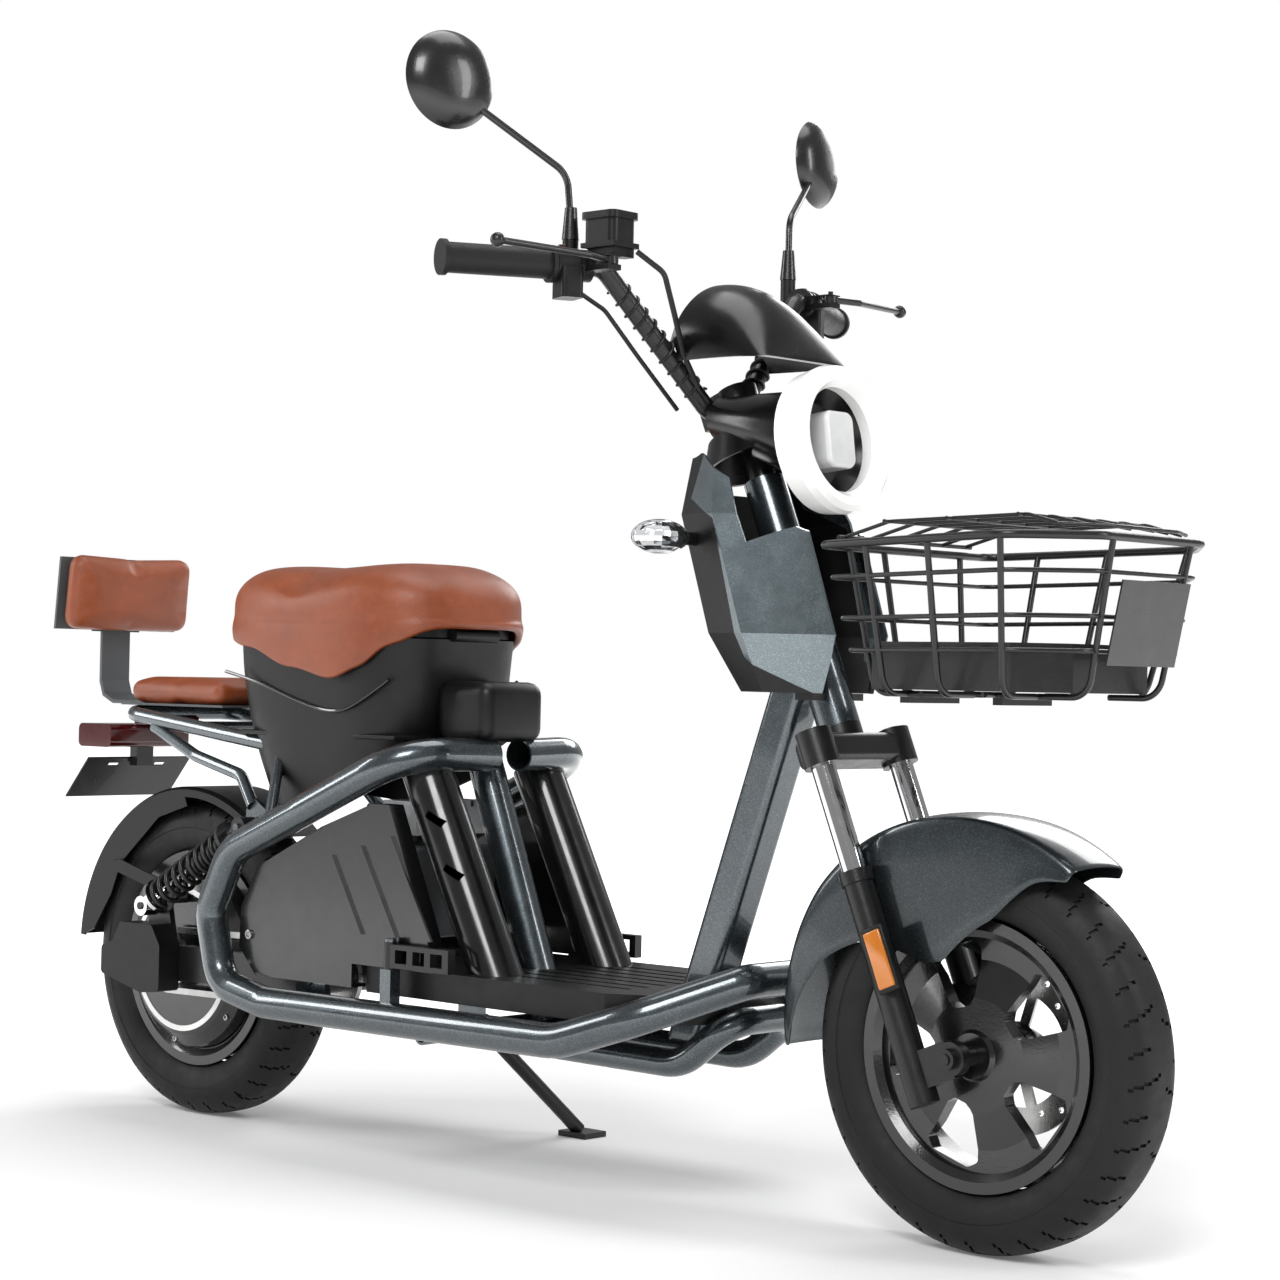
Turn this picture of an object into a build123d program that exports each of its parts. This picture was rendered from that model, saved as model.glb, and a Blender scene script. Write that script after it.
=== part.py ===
from build123d import *
import os
from math import atan2, cos, degrees, hypot, radians, sin

os.makedirs("parts", exist_ok=True)

# All lengths are in millimetres. While modelling, x = 0 is the rear axle, +X is forward,
# +Y is the rider's left and z = 0 is the ground. The whole object is moved along X at the
# end, so that the row's origin lies on the ground under the middle of its box.

# ---- driving dimensions -------------------------------------------------------------
wheelbase = 1275.0
tyre_radius = 210.0
tyre_half_width = 44.0
tread_half_width = 20.0          # flat running band of the tread
tyre_wall = 9.0
bead_radius = 136.0              # where the tyre bead sits on the rim
rim_half_width = 34.0
rim_wall = 4.0

steer_angle = 22.5               # steering axis, degrees back from upright
crown_x = 1074.5                 # steering axis where it crosses crown_z
crown_z = 520.0
fork_offset = 15.0               # stanchions ahead of the steering axis
fork_half = 70.0                 # stanchion centres from the middle
stanchion_radius = 13.5
slider_radius = 16.5
fork_travel = 40.0
slide_clearance = 0.05           # radial gap of every running fit

frame_tube_radius = 20.0
frame_tube_wall = 2.5
rail_half_y = 168.0              # centre line of each side rail
belly_half_y = 58.0
belly_tube_radius = 16.0
rack_half_y = 95.0
rack_tube_radius = 10.0
seat_tube_radius = 22.0

pivot_x = 330.0                  # swingarm pivot
pivot_z = 215.0
pivot_pin_radius = 8.0
swingarm_half_y = 99.0
swingarm_travel = 8.0            # degrees, bump travel

shock_top_x = 205.0
shock_top_z = 398.0
shock_low_x = 12.0
shock_low_z = 285.0
shock_half_y = 126.0

seat_rear_x = 122.0
seat_front_x = 500.0
seat_half_width = 134.0
seat_base_z = 655.0              # joint line between seat pan and seat body
seat_top_z = 735.0
seat_hinge_x = 486.0
seat_hinge_z = 646.0

bar_radius = 11.0
grip_radius = 17.0
grip_length = 128.0
bar_bend = (850.0, 172.0, 1056.0)
bar_end = (773.0, 344.0, 1053.0)

headlight_centre = (1053.0, 0.0, 868.0)
headlight_tilt = 7.0             # degrees, ring leans back
headlight_outer = 84.0
headlight_inner = 60.0

basket_rear_x = 1150.0
basket_front_x = 1462.0
basket_rim_z = 742.0
basket_rise = 8.0                # rim is higher at its front
basket_floor_z = 590.0
basket_tray_height = 50.0
wire_radius = 2.5
rim_wire_radius = 4.5

down_tube_width = 46.0
down_tube_wall = 3.0
floor_top_z = 245.0
floor_thickness = 34.0

stand_pivot = (420.0, 92.0, 150.0)
stand_foot_x = 470.0
stand_foot_y = 232.0
stand_leg_radius = 9.0

front_axle_radius = 6.0
rear_axle_radius = 7.0

nodes = {}

# ---- helpers ------------------------------------------------------------------------


def tube(points, bends, radius, wall=0.0):
    """A round tube or bar along straight runs joined by arcs."""
    if len(points) == 2:
        path = Line(points[0], points[1])
    else:
        path = FilletPolyline(*points, radius=bends)
    ring = Circle(radius)
    if wall:
        ring -= Circle(radius - wall)
    return sweep(Plane(origin=path @ 0, z_dir=path % 0) * ring, path=path)


def rod(start, end, radius, bore=0.0):
    """A straight round bar, with a through bore if one is given."""
    axis = Vector(end) - Vector(start)
    ring = Circle(radius)
    if bore:
        ring -= Circle(bore)
    return extrude(Plane(origin=start, z_dir=axis) * ring, axis.length)


def block(x0, x1, y0, y1, z0, z1, corner=0.0):
    """A box between two corners, with its upright and level edges rounded."""
    shape = Pos((x0 + x1) / 2, (y0 + y1) / 2, (z0 + z1) / 2) * Box(x1 - x0, y1 - y0, z1 - z0)
    return fillet(shape.edges(), corner) if corner else shape


def side_plate(outline, y0, y1):
    """A plate whose outline is drawn in X and Z, from y0 to y1."""
    face = make_face(Polyline(*[(x, 0, z) for x, z in outline], close=True))
    return extrude(Pos(0, y0, 0) * face, y1 - y0, dir=(0, 1, 0))


def both_sides(shape):
    """The shape and its mirror image, as one group of separate solids."""
    return Compound(shape.solids() + mirror(shape, about=Plane.XZ).solids())


def group(*shapes):
    """Separate solids kept in one node."""
    solids = []
    for shape in shapes:
        solids += shape.solids()
    return Compound(solids)


def turned(profile, centre_x, centre_z):
    """Turns a profile, given as (radius, y) points, about an axle along Y."""
    face = make_face(Polyline(*[(r, y, 0) for r, y in profile], close=True))
    return Pos(centre_x, 0, centre_z) * revolve(face, Axis.Y)


def polar(angle, radius):
    return radius * cos(radians(angle)), radius * sin(radians(angle))


def along(start, end, distance):
    """The point a distance from start towards end."""
    step = Vector(end) - Vector(start)
    return tuple(Vector(start) + step.normalized() * distance)


# The steering frame: +Z up the steering axis, +X forward and square to it.
steer_sin = sin(radians(steer_angle))
steer_cos = cos(radians(steer_angle))
steering = Plane(
    origin=(crown_x, 0, crown_z), x_dir=(steer_cos, 0, steer_sin), z_dir=(-steer_sin, 0, steer_cos)
)


def steer_point(forward, side, up):
    """A point given in the steering frame, in the row's directions."""
    return (
        crown_x + forward * steer_cos - up * steer_sin,
        side,
        crown_z + forward * steer_sin + up * steer_cos,
    )


# ---- wheels -------------------------------------------------------------------------


def tyre(centre_x):
    shoulder_radius = tyre_radius - 12
    belly_radius = (tyre_radius + bead_radius) / 2 + 2
    bead_half = rim_half_width - rim_wall
    outer = [
        (bead_radius, bead_half),
        (bead_radius + 9, bead_half),
        (belly_radius, tyre_half_width),
        (shoulder_radius, tyre_half_width - 7),
        (tyre_radius - 3, tread_half_width + 7),
        (tyre_radius, tread_half_width),
    ]
    inner = [
        (tyre_radius - tyre_wall, tread_half_width),
        (shoulder_radius - 6, tyre_half_width - 7 - tyre_wall),
        (belly_radius, tyre_half_width - tyre_wall),
        (bead_radius + 9, bead_half - tyre_wall),
        (bead_radius, bead_half - tyre_wall),
    ]
    half = outer + inner
    profile = half[:6] + [(r, -y) for r, y in reversed(half[:6])]
    cavity = [(r, -y) for r, y in reversed(half[6:])] + half[6:]
    return turned(profile + cavity, centre_x, tyre_radius)


def rim_barrel(centre_x):
    flange = bead_radius + 8
    w = rim_half_width
    profile = [
        (bead_radius - rim_wall - 8, -w + 6),
        (bead_radius - rim_wall, -w),
        (flange, -w),
        (flange, -w + rim_wall),
        (bead_radius, -w + rim_wall),
        (bead_radius, w - rim_wall),
        (flange, w - rim_wall),
        (flange, w),
        (bead_radius - rim_wall, w),
        (bead_radius - rim_wall - 8, w - 6),
    ]
    return turned(profile, centre_x, tyre_radius)


hub_bore = front_axle_radius + slide_clearance
front_hub_half = 38.0
spoke_count = 5


def front_rim():
    """Cast wheel: barrel, domed web with five windows, and the hub."""
    barrel = rim_barrel(wheelbase)
    web = turned(
        [(20, -34), (60, -30), (100, -20), (129, -22), (129, -6), (95, -4), (60, -12), (20, -14)],
        wheelbase, tyre_radius,
    )
    hub = turned(
        [(hub_bore, -front_hub_half), (24, -front_hub_half), (30, -30), (30, 20), (24, front_hub_half),
         (hub_bore, front_hub_half)],
        wheelbase, tyre_radius,
    )
    window = side_plate([(52, -9), (60, -17), (108, -34), (118, -24), (118, 24), (108, 34), (60, 17), (52, 9)],
                        -60, 30)
    window = fillet(window.edges().filter_by(Axis.Y), 5)
    for i in range(spoke_count):
        turn = Rot(0, 360 / spoke_count * (i + 0.5), 0)
        web -= Pos(wheelbase, 0, tyre_radius) * turn * window
    return barrel + web + hub


brake_disc_radius = 92.0
brake_disc_y = 46.0
brake_disc_thickness = 4.0


def brake_disc():
    y = brake_disc_y
    t = brake_disc_thickness
    disc = turned([(62, y), (brake_disc_radius, y), (brake_disc_radius, y + t), (62, y + t)],
                  wheelbase, tyre_radius)
    carrier = turned([(hub_bore + 1, y), (30, y), (30, y + t), (hub_bore + 1, y + t)], wheelbase, tyre_radius)
    neck = turned([(hub_bore + 1, front_hub_half), (22, front_hub_half), (22, y), (hub_bore + 1, y)],
                  wheelbase, tyre_radius)
    disc += carrier + neck
    for i in range(spoke_count):
        arm = side_plate([(26, -6), (66, -6), (66, 6), (26, 6)], y, y + t)
        disc += Pos(wheelbase, 0, tyre_radius) * Rot(0, 360 / spoke_count * i, 0) * arm
    drill = Rot(90, 0, 0) * Cylinder(3.2, 4 * t)
    hole_radius = (62 + brake_disc_radius) / 2
    for i in range(4 * spoke_count):
        x, z = polar(360 / (4 * spoke_count) * i + 9, hole_radius + (5 if i % 2 else -5))
        disc -= Pos(wheelbase + x, y + t / 2, tyre_radius + z) * drill
    return disc


motor_half = 58.0
ring_radius = 94.0
ring_depth = 3.0


def hub_motor():
    """Hub motor: sealed drum, its two covers and the rim that it carries."""
    bore = rear_axle_radius + slide_clearance
    m = motor_half
    drum = turned(
        [(bore, -m), (ring_radius - 4.5, -m), (ring_radius - 4.5, -m + ring_depth),
         (ring_radius + 2.5, -m + ring_depth), (ring_radius + 2.5, -m), (102, -m + 2), (118, -m + 14),
         (122, -rim_half_width + 8), (bead_radius - rim_wall, -rim_half_width + 10),
         (bead_radius - rim_wall, rim_half_width - 10), (122, rim_half_width - 8), (118, m - 14),
         (102, m - 2), (90, m), (bore, m)],
        0, tyre_radius,
    )
    shell = rim_barrel(0) + drum
    cavity = turned([(30, -m + 9), (112, -m + 18), (112, m - 18), (30, m - 9)], 0, tyre_radius)
    shell -= cavity
    return shell


def motor_ring():
    """Pale ring set into the right-hand motor cover."""
    r0 = ring_radius - 4.5
    r1 = ring_radius + 2.5
    return turned([(r0, -motor_half - 1), (r1, -motor_half - 1), (r1, -motor_half + ring_depth),
                   (r0, -motor_half + ring_depth)], 0, tyre_radius)


nodes["front_tyre"] = tyre(wheelbase)
nodes["rear_tyre"] = tyre(0)
nodes["front_rim"] = front_rim()
nodes["brake_disc"] = brake_disc()
nodes["hub_motor"] = hub_motor()
nodes["motor_ring"] = motor_ring()

# ---- fork and steering --------------------------------------------------------------

head_tube_low = 30.0             # along the steering axis from the crown
head_tube_high = 330.0
head_tube_radius = 24.0
head_low = steer_point(0, 0, head_tube_low)
head_high = steer_point(0, 0, head_tube_high)

crown_half_thickness = 16.0
stem_radius = 15.0
stem_length = 432.0
slider_top = -140.0
slider_bottom = -398.0
axle_forward = (wheelbase - crown_x) * steer_cos + (tyre_radius - crown_z) * steer_sin
axle_up = -(wheelbase - crown_x) * steer_sin + (tyre_radius - crown_z) * steer_cos


def steering_stem():
    """Lower crown with its two clamps, the steerer tube and the bar clamp on top."""
    t = crown_half_thickness
    bridge = Pos(fork_offset / 2, 0, 0) * Box(44, 2 * fork_half, 2 * t)
    bridge = fillet(bridge.edges().filter_by(Axis.Y), 8)
    clamp = Pos(fork_offset, fork_half, 0) * Cylinder(stanchion_radius + 7, 2 * t + 8)
    steerer = Pos(0, 0, t) * Cylinder(stem_radius, stem_length, align=(Align.CENTER, Align.CENTER, Align.MIN))
    seat = Pos(0, 0, t) * Cylinder(head_tube_radius, head_tube_low - t - 0.3,
                                   align=(Align.CENTER, Align.CENTER, Align.MIN))
    stem = bridge + clamp + mirror(clamp, about=Plane.XZ) + steerer + seat
    for side in (-1, 1):
        stem -= Pos(fork_offset, side * fork_half, 0) * Cylinder(stanchion_radius, 4 * t)
    stem -= Pos(0, 0, t + 20) * Cylinder(stem_radius - 3, stem_length, align=(Align.CENTER, Align.CENTER, Align.MIN))
    return steering * stem


def fork_stanchions():
    top = crown_half_thickness + 6
    length = top - slider_top + 120
    leg = Pos(fork_offset, fork_half, top - length) * Cylinder(
        stanchion_radius, length, align=(Align.CENTER, Align.CENTER, Align.MIN))
    leg -= Pos(fork_offset, fork_half, top - length) * Cylinder(
        stanchion_radius - 3, 2 * (length - 12), align=(Align.CENTER, Align.CENTER, Align.CENTER))
    return both_sides(steering * leg)


def fork_sliders():
    """Lower legs, each with its seal ring and axle lug, and the front axle."""
    length = slider_top - slider_bottom
    leg = Pos(fork_offset, fork_half, slider_bottom) * Cylinder(
        slider_radius, length, align=(Align.CENTER, Align.CENTER, Align.MIN))
    seal = Pos(fork_offset, fork_half, slider_top - 14) * Cylinder(
        slider_radius + 2, 14, align=(Align.CENTER, Align.CENTER, Align.MIN))
    leg = leg + seal
    bore_length = length - 14
    leg -= Pos(fork_offset, fork_half, slider_top) * Cylinder(
        stanchion_radius + slide_clearance, 2 * bore_length)
    lug = Pos((fork_offset + axle_forward) / 2, fork_half, axle_up) * Box(
        axle_forward - fork_offset, 14, 40)
    boss = Pos(axle_forward, fork_half, axle_up) * Rot(90, 0, 0) * Cylinder(18, 14)
    lug = lug + boss
    lug -= Pos(fork_offset, fork_half, slider_bottom) * Cylinder(
        stanchion_radius + slide_clearance, 2 * length)
    hole = Pos(axle_forward, fork_half, axle_up) * Rot(90, 0, 0) * Cylinder(front_axle_radius, 40)
    leg = (leg + lug) - hole
    return both_sides(steering * leg)


def front_axle():
    reach = fork_half + 7
    axle = rod((wheelbase, -reach - 10, tyre_radius), (wheelbase, reach + 10, tyre_radius), front_axle_radius)
    nut = rod((wheelbase, reach, tyre_radius), (wheelbase, reach + 8, tyre_radius), 11)
    spacer_right = rod((wheelbase, -front_hub_half - 0.3, tyre_radius), (wheelbase, -fork_half + 7, tyre_radius),
                       10)
    disc_outer = brake_disc_y + brake_disc_thickness
    spacer_left = rod((wheelbase, disc_outer + 0.3, tyre_radius), (wheelbase, fork_half - 7, tyre_radius), 10)
    return axle + nut + mirror(nut, about=Plane.XZ) + spacer_right + spacer_left


def brake_caliper():
    """Single-piston caliper behind the left leg, straddling the disc."""
    x, z = polar(150, brake_disc_radius - 14)
    caliper = block(wheelbase + x - 24, wheelbase + x + 16, brake_disc_y - 8, brake_disc_y + 18,
                    tyre_radius + z - 24, tyre_radius + z + 24)
    caliper = fillet(caliper.edges().filter_by(Axis.Y), 7)
    slot_half = brake_disc_thickness / 2 + 1.2
    middle = brake_disc_y + brake_disc_thickness / 2
    caliper -= turned([(20, middle - slot_half), (brake_disc_radius + 3, middle - slot_half),
                       (brake_disc_radius + 3, middle + slot_half), (20, middle + slot_half)],
                      wheelbase, tyre_radius)
    leg_cut = steering * (Pos(fork_offset, fork_half, slider_bottom) * Cylinder(
        slider_radius, 4 * brake_disc_radius))
    return caliper - leg_cut


fender_half_width = 51.0
fender_wall = 2.5
fender_radius = 245.0


def wheel_cover(centre_x, radius, half_width, from_angle, to_angle):
    """The curved top of a fender, between two angles about the axle."""
    w = half_width
    wall = fender_wall
    lip = radius - 14
    edge = radius - 4
    outer = [(lip, -w), (edge, -w), (radius, -w + 6), (radius, w - 6), (edge, w), (lip, w)]
    inner = [(lip, w - wall), (edge - 1, w - wall), (radius - wall, w - 7), (radius - wall, -w + 7),
             (edge - 1, -w + wall), (lip, -w + wall)]
    band = turned(outer + inner, centre_x, tyre_radius)
    reach = 2 * radius
    wedge = [(0, 0)]
    steps = 6
    for i in range(steps + 1):
        wedge.append(polar(from_angle + (to_angle - from_angle) * i / steps, reach))
    keep = Pos(centre_x, 0, tyre_radius) * side_plate(wedge, -half_width - 1, half_width + 1)
    return band & keep


def fender_skirt(centre_x, radius, half_width, angles, inner):
    """A flat cheek of a fender: an outer arc closed by the inner outline."""
    arc = []
    steps = 14
    for i in range(steps + 1):
        x, z = polar(angles[0] + (angles[1] - angles[0]) * i / steps, radius)
        arc.append((centre_x + x, tyre_radius + z))
    return side_plate(arc + inner, half_width - fender_wall, half_width)


def front_fender():
    w = fender_half_width
    top = wheel_cover(wheelbase, fender_radius, w, 57, 183)
    inner = [(1064, 200), (1098, 285), (1150, 318), (1203, 301), (1305, 330), (1352, 392), (1390, 400)]
    cheek = fender_skirt(wheelbase, fender_radius - 8, w, (58, 182), inner)
    stay = side_plate([(1174, 306), (1204, 306), (1206, 286), (1180, 286)], w - 1, w + 2.0)
    return top + cheek + mirror(cheek, about=Plane.XZ) + stay + mirror(stay, about=Plane.XZ)


nodes["steering_stem"] = steering_stem()
nodes["fork_stanchions"] = fork_stanchions()
nodes["fork_sliders"] = group(fork_sliders(), front_axle())
nodes["brake_caliper"] = brake_caliper()
nodes["front_fender"] = front_fender()

# ---- handlebar and what is on it ----------------------------------------------------

clamp_up = crown_half_thickness + stem_length - 20
bar_behind = stem_radius + bar_radius + 1.5
bar_foot = steer_point(-bar_behind, 26, clamp_up)


def mirrored(point):
    return (point[0], -point[1], point[2])


bar_points = [mirrored(bar_end), mirrored(bar_bend), mirrored(bar_foot), bar_foot, bar_bend, bar_end]
bar_bends = (26, 22, 22, 26)


def handlebar():
    bar = tube(bar_points, bar_bends, bar_radius, 2.0)
    collar = Pos(0, 0, clamp_up) * Cylinder(stem_radius + 8, 34)
    saddle = Pos(-bar_behind, 0, clamp_up) * Box(2 * bar_radius + 14, 40, 34)
    clamp = collar + saddle - Pos(0, 0, clamp_up) * Cylinder(stem_radius, 100)
    clamp = steering * clamp - tube(bar_points, bar_bends, bar_radius)
    return group(bar, clamp)


def on_bar(distance):
    """A point on the left-hand grip section, from the bend outwards."""
    return along(bar_bend, bar_end, distance)


bar_run = (Vector(bar_end) - Vector(bar_bend)).length
grip_start = bar_run - grip_length


def grip():
    """Left-hand grip, open at its inner end, with a flange there."""
    start = on_bar(grip_start)
    end = on_bar(bar_run + 4)
    body = rod(start, end, grip_radius)
    flange = rod(start, on_bar(grip_start + 5), grip_radius + 4)
    end_flange = rod(on_bar(bar_run - 2), end, grip_radius + 3)
    bore = rod(on_bar(grip_start - 1), on_bar(bar_run + 0.2), bar_radius + slide_clearance)
    return body + flange + end_flange - bore


def bar_clamp_housing(start, end, radius, drop):
    """Left-hand switch housing: a round body round the bar and a pod under it."""
    body = rod(on_bar(start), on_bar(end), radius)
    middle = on_bar((start + end) / 2)
    pod = Pos(middle[0] + 6, middle[1], middle[2] - drop / 2 - 4) * Rot(0, 0, 24) * Box(34, end - start, drop)
    pod = fillet(pod.edges().filter_by(Axis.Z), 5)
    return body + pod - rod(on_bar(start - 5), on_bar(end + 5), bar_radius)


lever_pivot = (884.0, 196.0, 1058.0)
lever_ball = (868.0, 356.0, 1062.0)
lever_pin_radius = 3.0
perch_start = 16.0
perch_end = 32.0
mirror_seat = (820.0, 193.0, 1086.0)


def lever_perch():
    """Left-hand lever perch: clamp, arm to the lever pivot and the mirror boss."""
    clamp = rod(on_bar(perch_start), on_bar(perch_end), bar_radius + 7)
    middle = on_bar((perch_start + perch_end) / 2)
    arm_end = (lever_pivot[0], lever_pivot[1], middle[2])
    arm = Pos((middle[0] + arm_end[0]) / 2, (middle[1] + arm_end[1]) / 2, middle[2]) * Rot(
        0, 0, degrees(atan2(arm_end[1] - middle[1], arm_end[0] - middle[0]))
    ) * Box(hypot(arm_end[0] - middle[0], arm_end[1] - middle[1]) + 14, 20, 16)
    slot = Pos(lever_pivot[0], lever_pivot[1], lever_pivot[2]) * Cylinder(24, 8.6)
    pin = Pos(*lever_pivot) * Cylinder(lever_pin_radius, 20)
    boss = Pos(mirror_seat[0], mirror_seat[1], mirror_seat[2] - 15) * Cylinder(9, 30)
    perch = clamp + arm + boss - slot + pin
    perch -= Pos(mirror_seat[0], mirror_seat[1], mirror_seat[2] - 5) * Cylinder(5, 20)
    return perch - tube(bar_points, bar_bends, bar_radius)


def handlebar_controls():
    """Lever perches, switch housings and the front brake's reservoir."""
    perch = lever_perch()
    housing = bar_clamp_housing(perch_end + 1, grip_start - 1.5, 19, 34)
    x, y, z = start_button_seat
    pocket_low = z - button_depth - button_stroke - 0.1
    housing -= Pos(x, y, pocket_low) * Cylinder(
        button_radius + slide_clearance, 20, align=(Align.CENTER, Align.CENTER, Align.MIN))
    housing -= Pos(mirror_seat[0], mirror_seat[1], mirror_seat[2] - 15) * Cylinder(9.3, 34)
    right_perch = mirror(perch, about=Plane.XZ)
    base = block(842, 892, -200, -158, 1074, 1080) + block(846, 888, -196, -162, 1064, 1076)
    base -= mirror(rod(on_bar(-40), on_bar(60), 19.5), about=Plane.XZ)
    base -= tube(bar_points, bar_bends, bar_radius + 1)
    base -= Pos(mirror_seat[0], -mirror_seat[1], mirror_seat[2]) * Cylinder(11, 60)
    tank = fillet(block(844, 890, -199, -160, 1080, 1106).edges().filter_by(Axis.Z), 8)
    tank -= block(848, 886, -195, -164, 1084, 1112)
    tank -= Pos(mirror_seat[0], -mirror_seat[1], mirror_seat[2]) * Cylinder(11, 60)
    lid = fillet(block(841, 893, -202, -157, 1106, 1114).edges().filter_by(Axis.Z), 8)
    return group(perch, right_perch, housing, mirror(housing, about=Plane.XZ), base, tank, lid)


def brake_lever():
    """Left-hand lever: eye on the pivot, bent blade and ball end."""
    eye = Pos(*lever_pivot) * Cylinder(9, 8)
    knee = (lever_pivot[0] + 10, lever_pivot[1] + 44, lever_pivot[2])
    blade = rod(lever_pivot, knee, 3.9) + rod(knee, lever_ball, 3.9)
    ball = Pos(*lever_ball) * Sphere(8)
    elbow = Pos(*knee) * Sphere(3.9)
    lever = eye + blade + elbow + ball
    return lever - Pos(*lever_pivot) * Cylinder(lever_pin_radius + slide_clearance, 30)


button_radius = 4.5
button_stroke = 3.0
button_depth = 3.5               # how far the cap sits down in its pocket
button_stand = 4.0               # how far it stands up out of it
button_along = perch_end + 14
start_button_seat = (on_bar(button_along)[0] - 4, on_bar(button_along)[1], bar_bend[2] + 18)


def push_button():
    """Left-hand thumb button, standing out of the top of its housing."""
    x, y, z = start_button_seat
    cap = Pos(x, y, z - button_depth) * Cylinder(
        button_radius, button_depth + button_stand, align=(Align.CENTER, Align.CENTER, Align.MIN))
    return fillet(cap.edges().group_by(Axis.Z)[-1], 1)


mirror_head = (761.0, 324.0, 1253.0)
mirror_turn = 15.0               # degrees outwards from straight back
mirror_radius = 54.0


def rear_mirror():
    """Left-hand mirror: threaded foot, boot, bent stem, shell and glass."""
    x, y, z = mirror_seat
    foot = Pos(x, y, z - 6.5) * Cylinder(4.95, 15)
    boot = Pos(x, y, z + 0.3) * Cone(10, 7, 36, align=(Align.CENTER, Align.CENTER, Align.MIN))
    stem = tube([(x, y, z + 20), (x - 3, y + 4, z + 74), (mirror_head[0] + 8, mirror_head[1] - 28, mirror_head[2] - 26)],
                (30,), 4.0)
    shell_profile = [(0, 14), (20, 13), (40, 7), (mirror_radius - 2, -3), (mirror_radius, -8),
                     (mirror_radius - 2, -10), (mirror_radius - 5, -8), (mirror_radius - 6, -6), (0, -6)]
    face = make_face(Polyline(*[(r, 0, h) for r, h in shell_profile], close=True))
    shell = revolve(face, Axis.Z)
    facing = Plane(origin=mirror_head, z_dir=(cos(radians(mirror_turn)), sin(radians(mirror_turn)), 0.06))
    return foot + boot + stem + facing * shell


hose_radius = 3.2
lead_radius = 2.6
collar_low = 352.0
collar_height = 36.0
collar_radius = 66.0


def headlight_frame():
    """A frame on the headlight: +Z out of the lamp, along its beam."""
    tilt = radians(headlight_tilt)
    return Plane(origin=headlight_centre, x_dir=(0, 1, 0), z_dir=(cos(tilt), 0, sin(tilt)))


lamp = headlight_frame()


def headlight_ring():
    """Pale ring round the lamp: a thick rounded band."""
    o = headlight_outer
    i = headlight_inner
    profile = [(i, -12), (i - 1, 2), (i + 6, 13), (o - 8, 15), (o - 2, 10), (o, 0), (o - 4, -26), (o - 12, -30),
               (o - 16, -26), (o - 10, -12)]
    face = make_face(Polyline(*[(r, 0, h) for r, h in profile], close=True))
    return lamp * revolve(face, Axis.Z)


def headlight_nacelle():
    """Lamp bowl, the body behind it, the round collar and the visor above."""
    i = headlight_inner
    o = headlight_outer
    bowl_profile = [(0, -30), (i - 14, -30), (i - 0.5, -12), (o - 10.5, -12), (o - 16.5, -26), (o - 16.5, -34), (0, -34)]
    bowl = revolve(make_face(Polyline(*[(r, 0, h) for r, h in bowl_profile], close=True)), Axis.Z)
    bowl = lamp * bowl
    back = loft(Sketch() + [
        lamp * Pos(0, 4, -34) * Ellipse(o - 22, o - 26),
        lamp * Pos(0, 26, -90) * Ellipse(58, 42),
        lamp * Pos(0, 44, -150) * Ellipse(46, 32),
    ])
    on_axis = (Align.CENTER, Align.CENTER, Align.MIN)
    collar = steering * (Pos(0, 0, collar_low) * Cone(collar_radius, collar_radius - 16, collar_height, align=on_axis))
    body = back + collar
    body -= steering * (Pos(0, 0, collar_low - 60) * Cylinder(head_tube_radius + 4, 220, align=on_axis))
    body -= steering * (Pos(0, 0, collar_low - 1) * Cone(
        collar_radius - 4, collar_radius - 19, collar_height - 4, align=on_axis))
    body -= tube([mirrored(bar_bend), mirrored(bar_foot), bar_foot, bar_bend], (22, 22), bar_radius + 6)
    body -= steering * (Pos(-bar_behind, 0, clamp_up) * Box(2 * bar_radius + 18, 44, 60))
    body -= cable_runs(1.0)
    body = max(body.solids(), key=lambda s: s.volume)
    shade = max((visor() - cable_runs(1.0)).solids(), key=lambda s: s.volume)
    return group(bowl, body, shade)


def visor():
    """Curved tinted visor above the lamp."""
    outer = loft(Sketch() + [
        Plane(origin=(1012, 0, 950), x_dir=(0, 1, 0), z_dir=(1, 0, 0.35)) * Ellipse(80, 14),
        Plane(origin=(950, 0, 966), x_dir=(0, 1, 0), z_dir=(1, 0, -0.1)) * Ellipse(86, 64),
        Plane(origin=(872, 0, 974), x_dir=(0, 1, 0), z_dir=(1, 0, -0.2)) * Ellipse(82, 80),
    ])
    inner = Pos(-6, 0, -5) * scale(outer, (1, 0.95, 0.995))
    shell = outer - inner
    shell -= block(800, 1100, -200, 200, 800, 958)
    shell = max(shell.solids(), key=lambda s: s.volume)
    return shell - tube(bar_points, bar_bends, bar_radius + 2)


def headlight_lens():
    """Square projector lens with rounded corners, in the middle of the bowl."""
    face = RectangleRounded(50, 64, 12)
    body = extrude(face, 36)
    body = fillet(body.edges().group_by(Axis.Z)[-1], 5)
    return lamp * Pos(0, 0, -30) * body


def cable_runs(clearance=0.0):
    """Brake hose and switch leads down the risers, swollen by a clearance where they make a hole."""
    hose = tube([(898, -168, 1070), (916, -142, 1048), (908, -114, 1004), (896, -84, 964), (896, -58, 930)],
                (20, 40, 30), hose_radius + clearance)
    lead = tube([(836, -193, 1026), (842, -158, 1010), (850, -110, 962), (860, -52, 906)], (30, 60),
                lead_radius + clearance)
    return group(hose, lead, mirror(lead, about=Plane.XZ))


def handlebar_cables():
    """The hose and leads as built."""
    return cable_runs()


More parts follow.
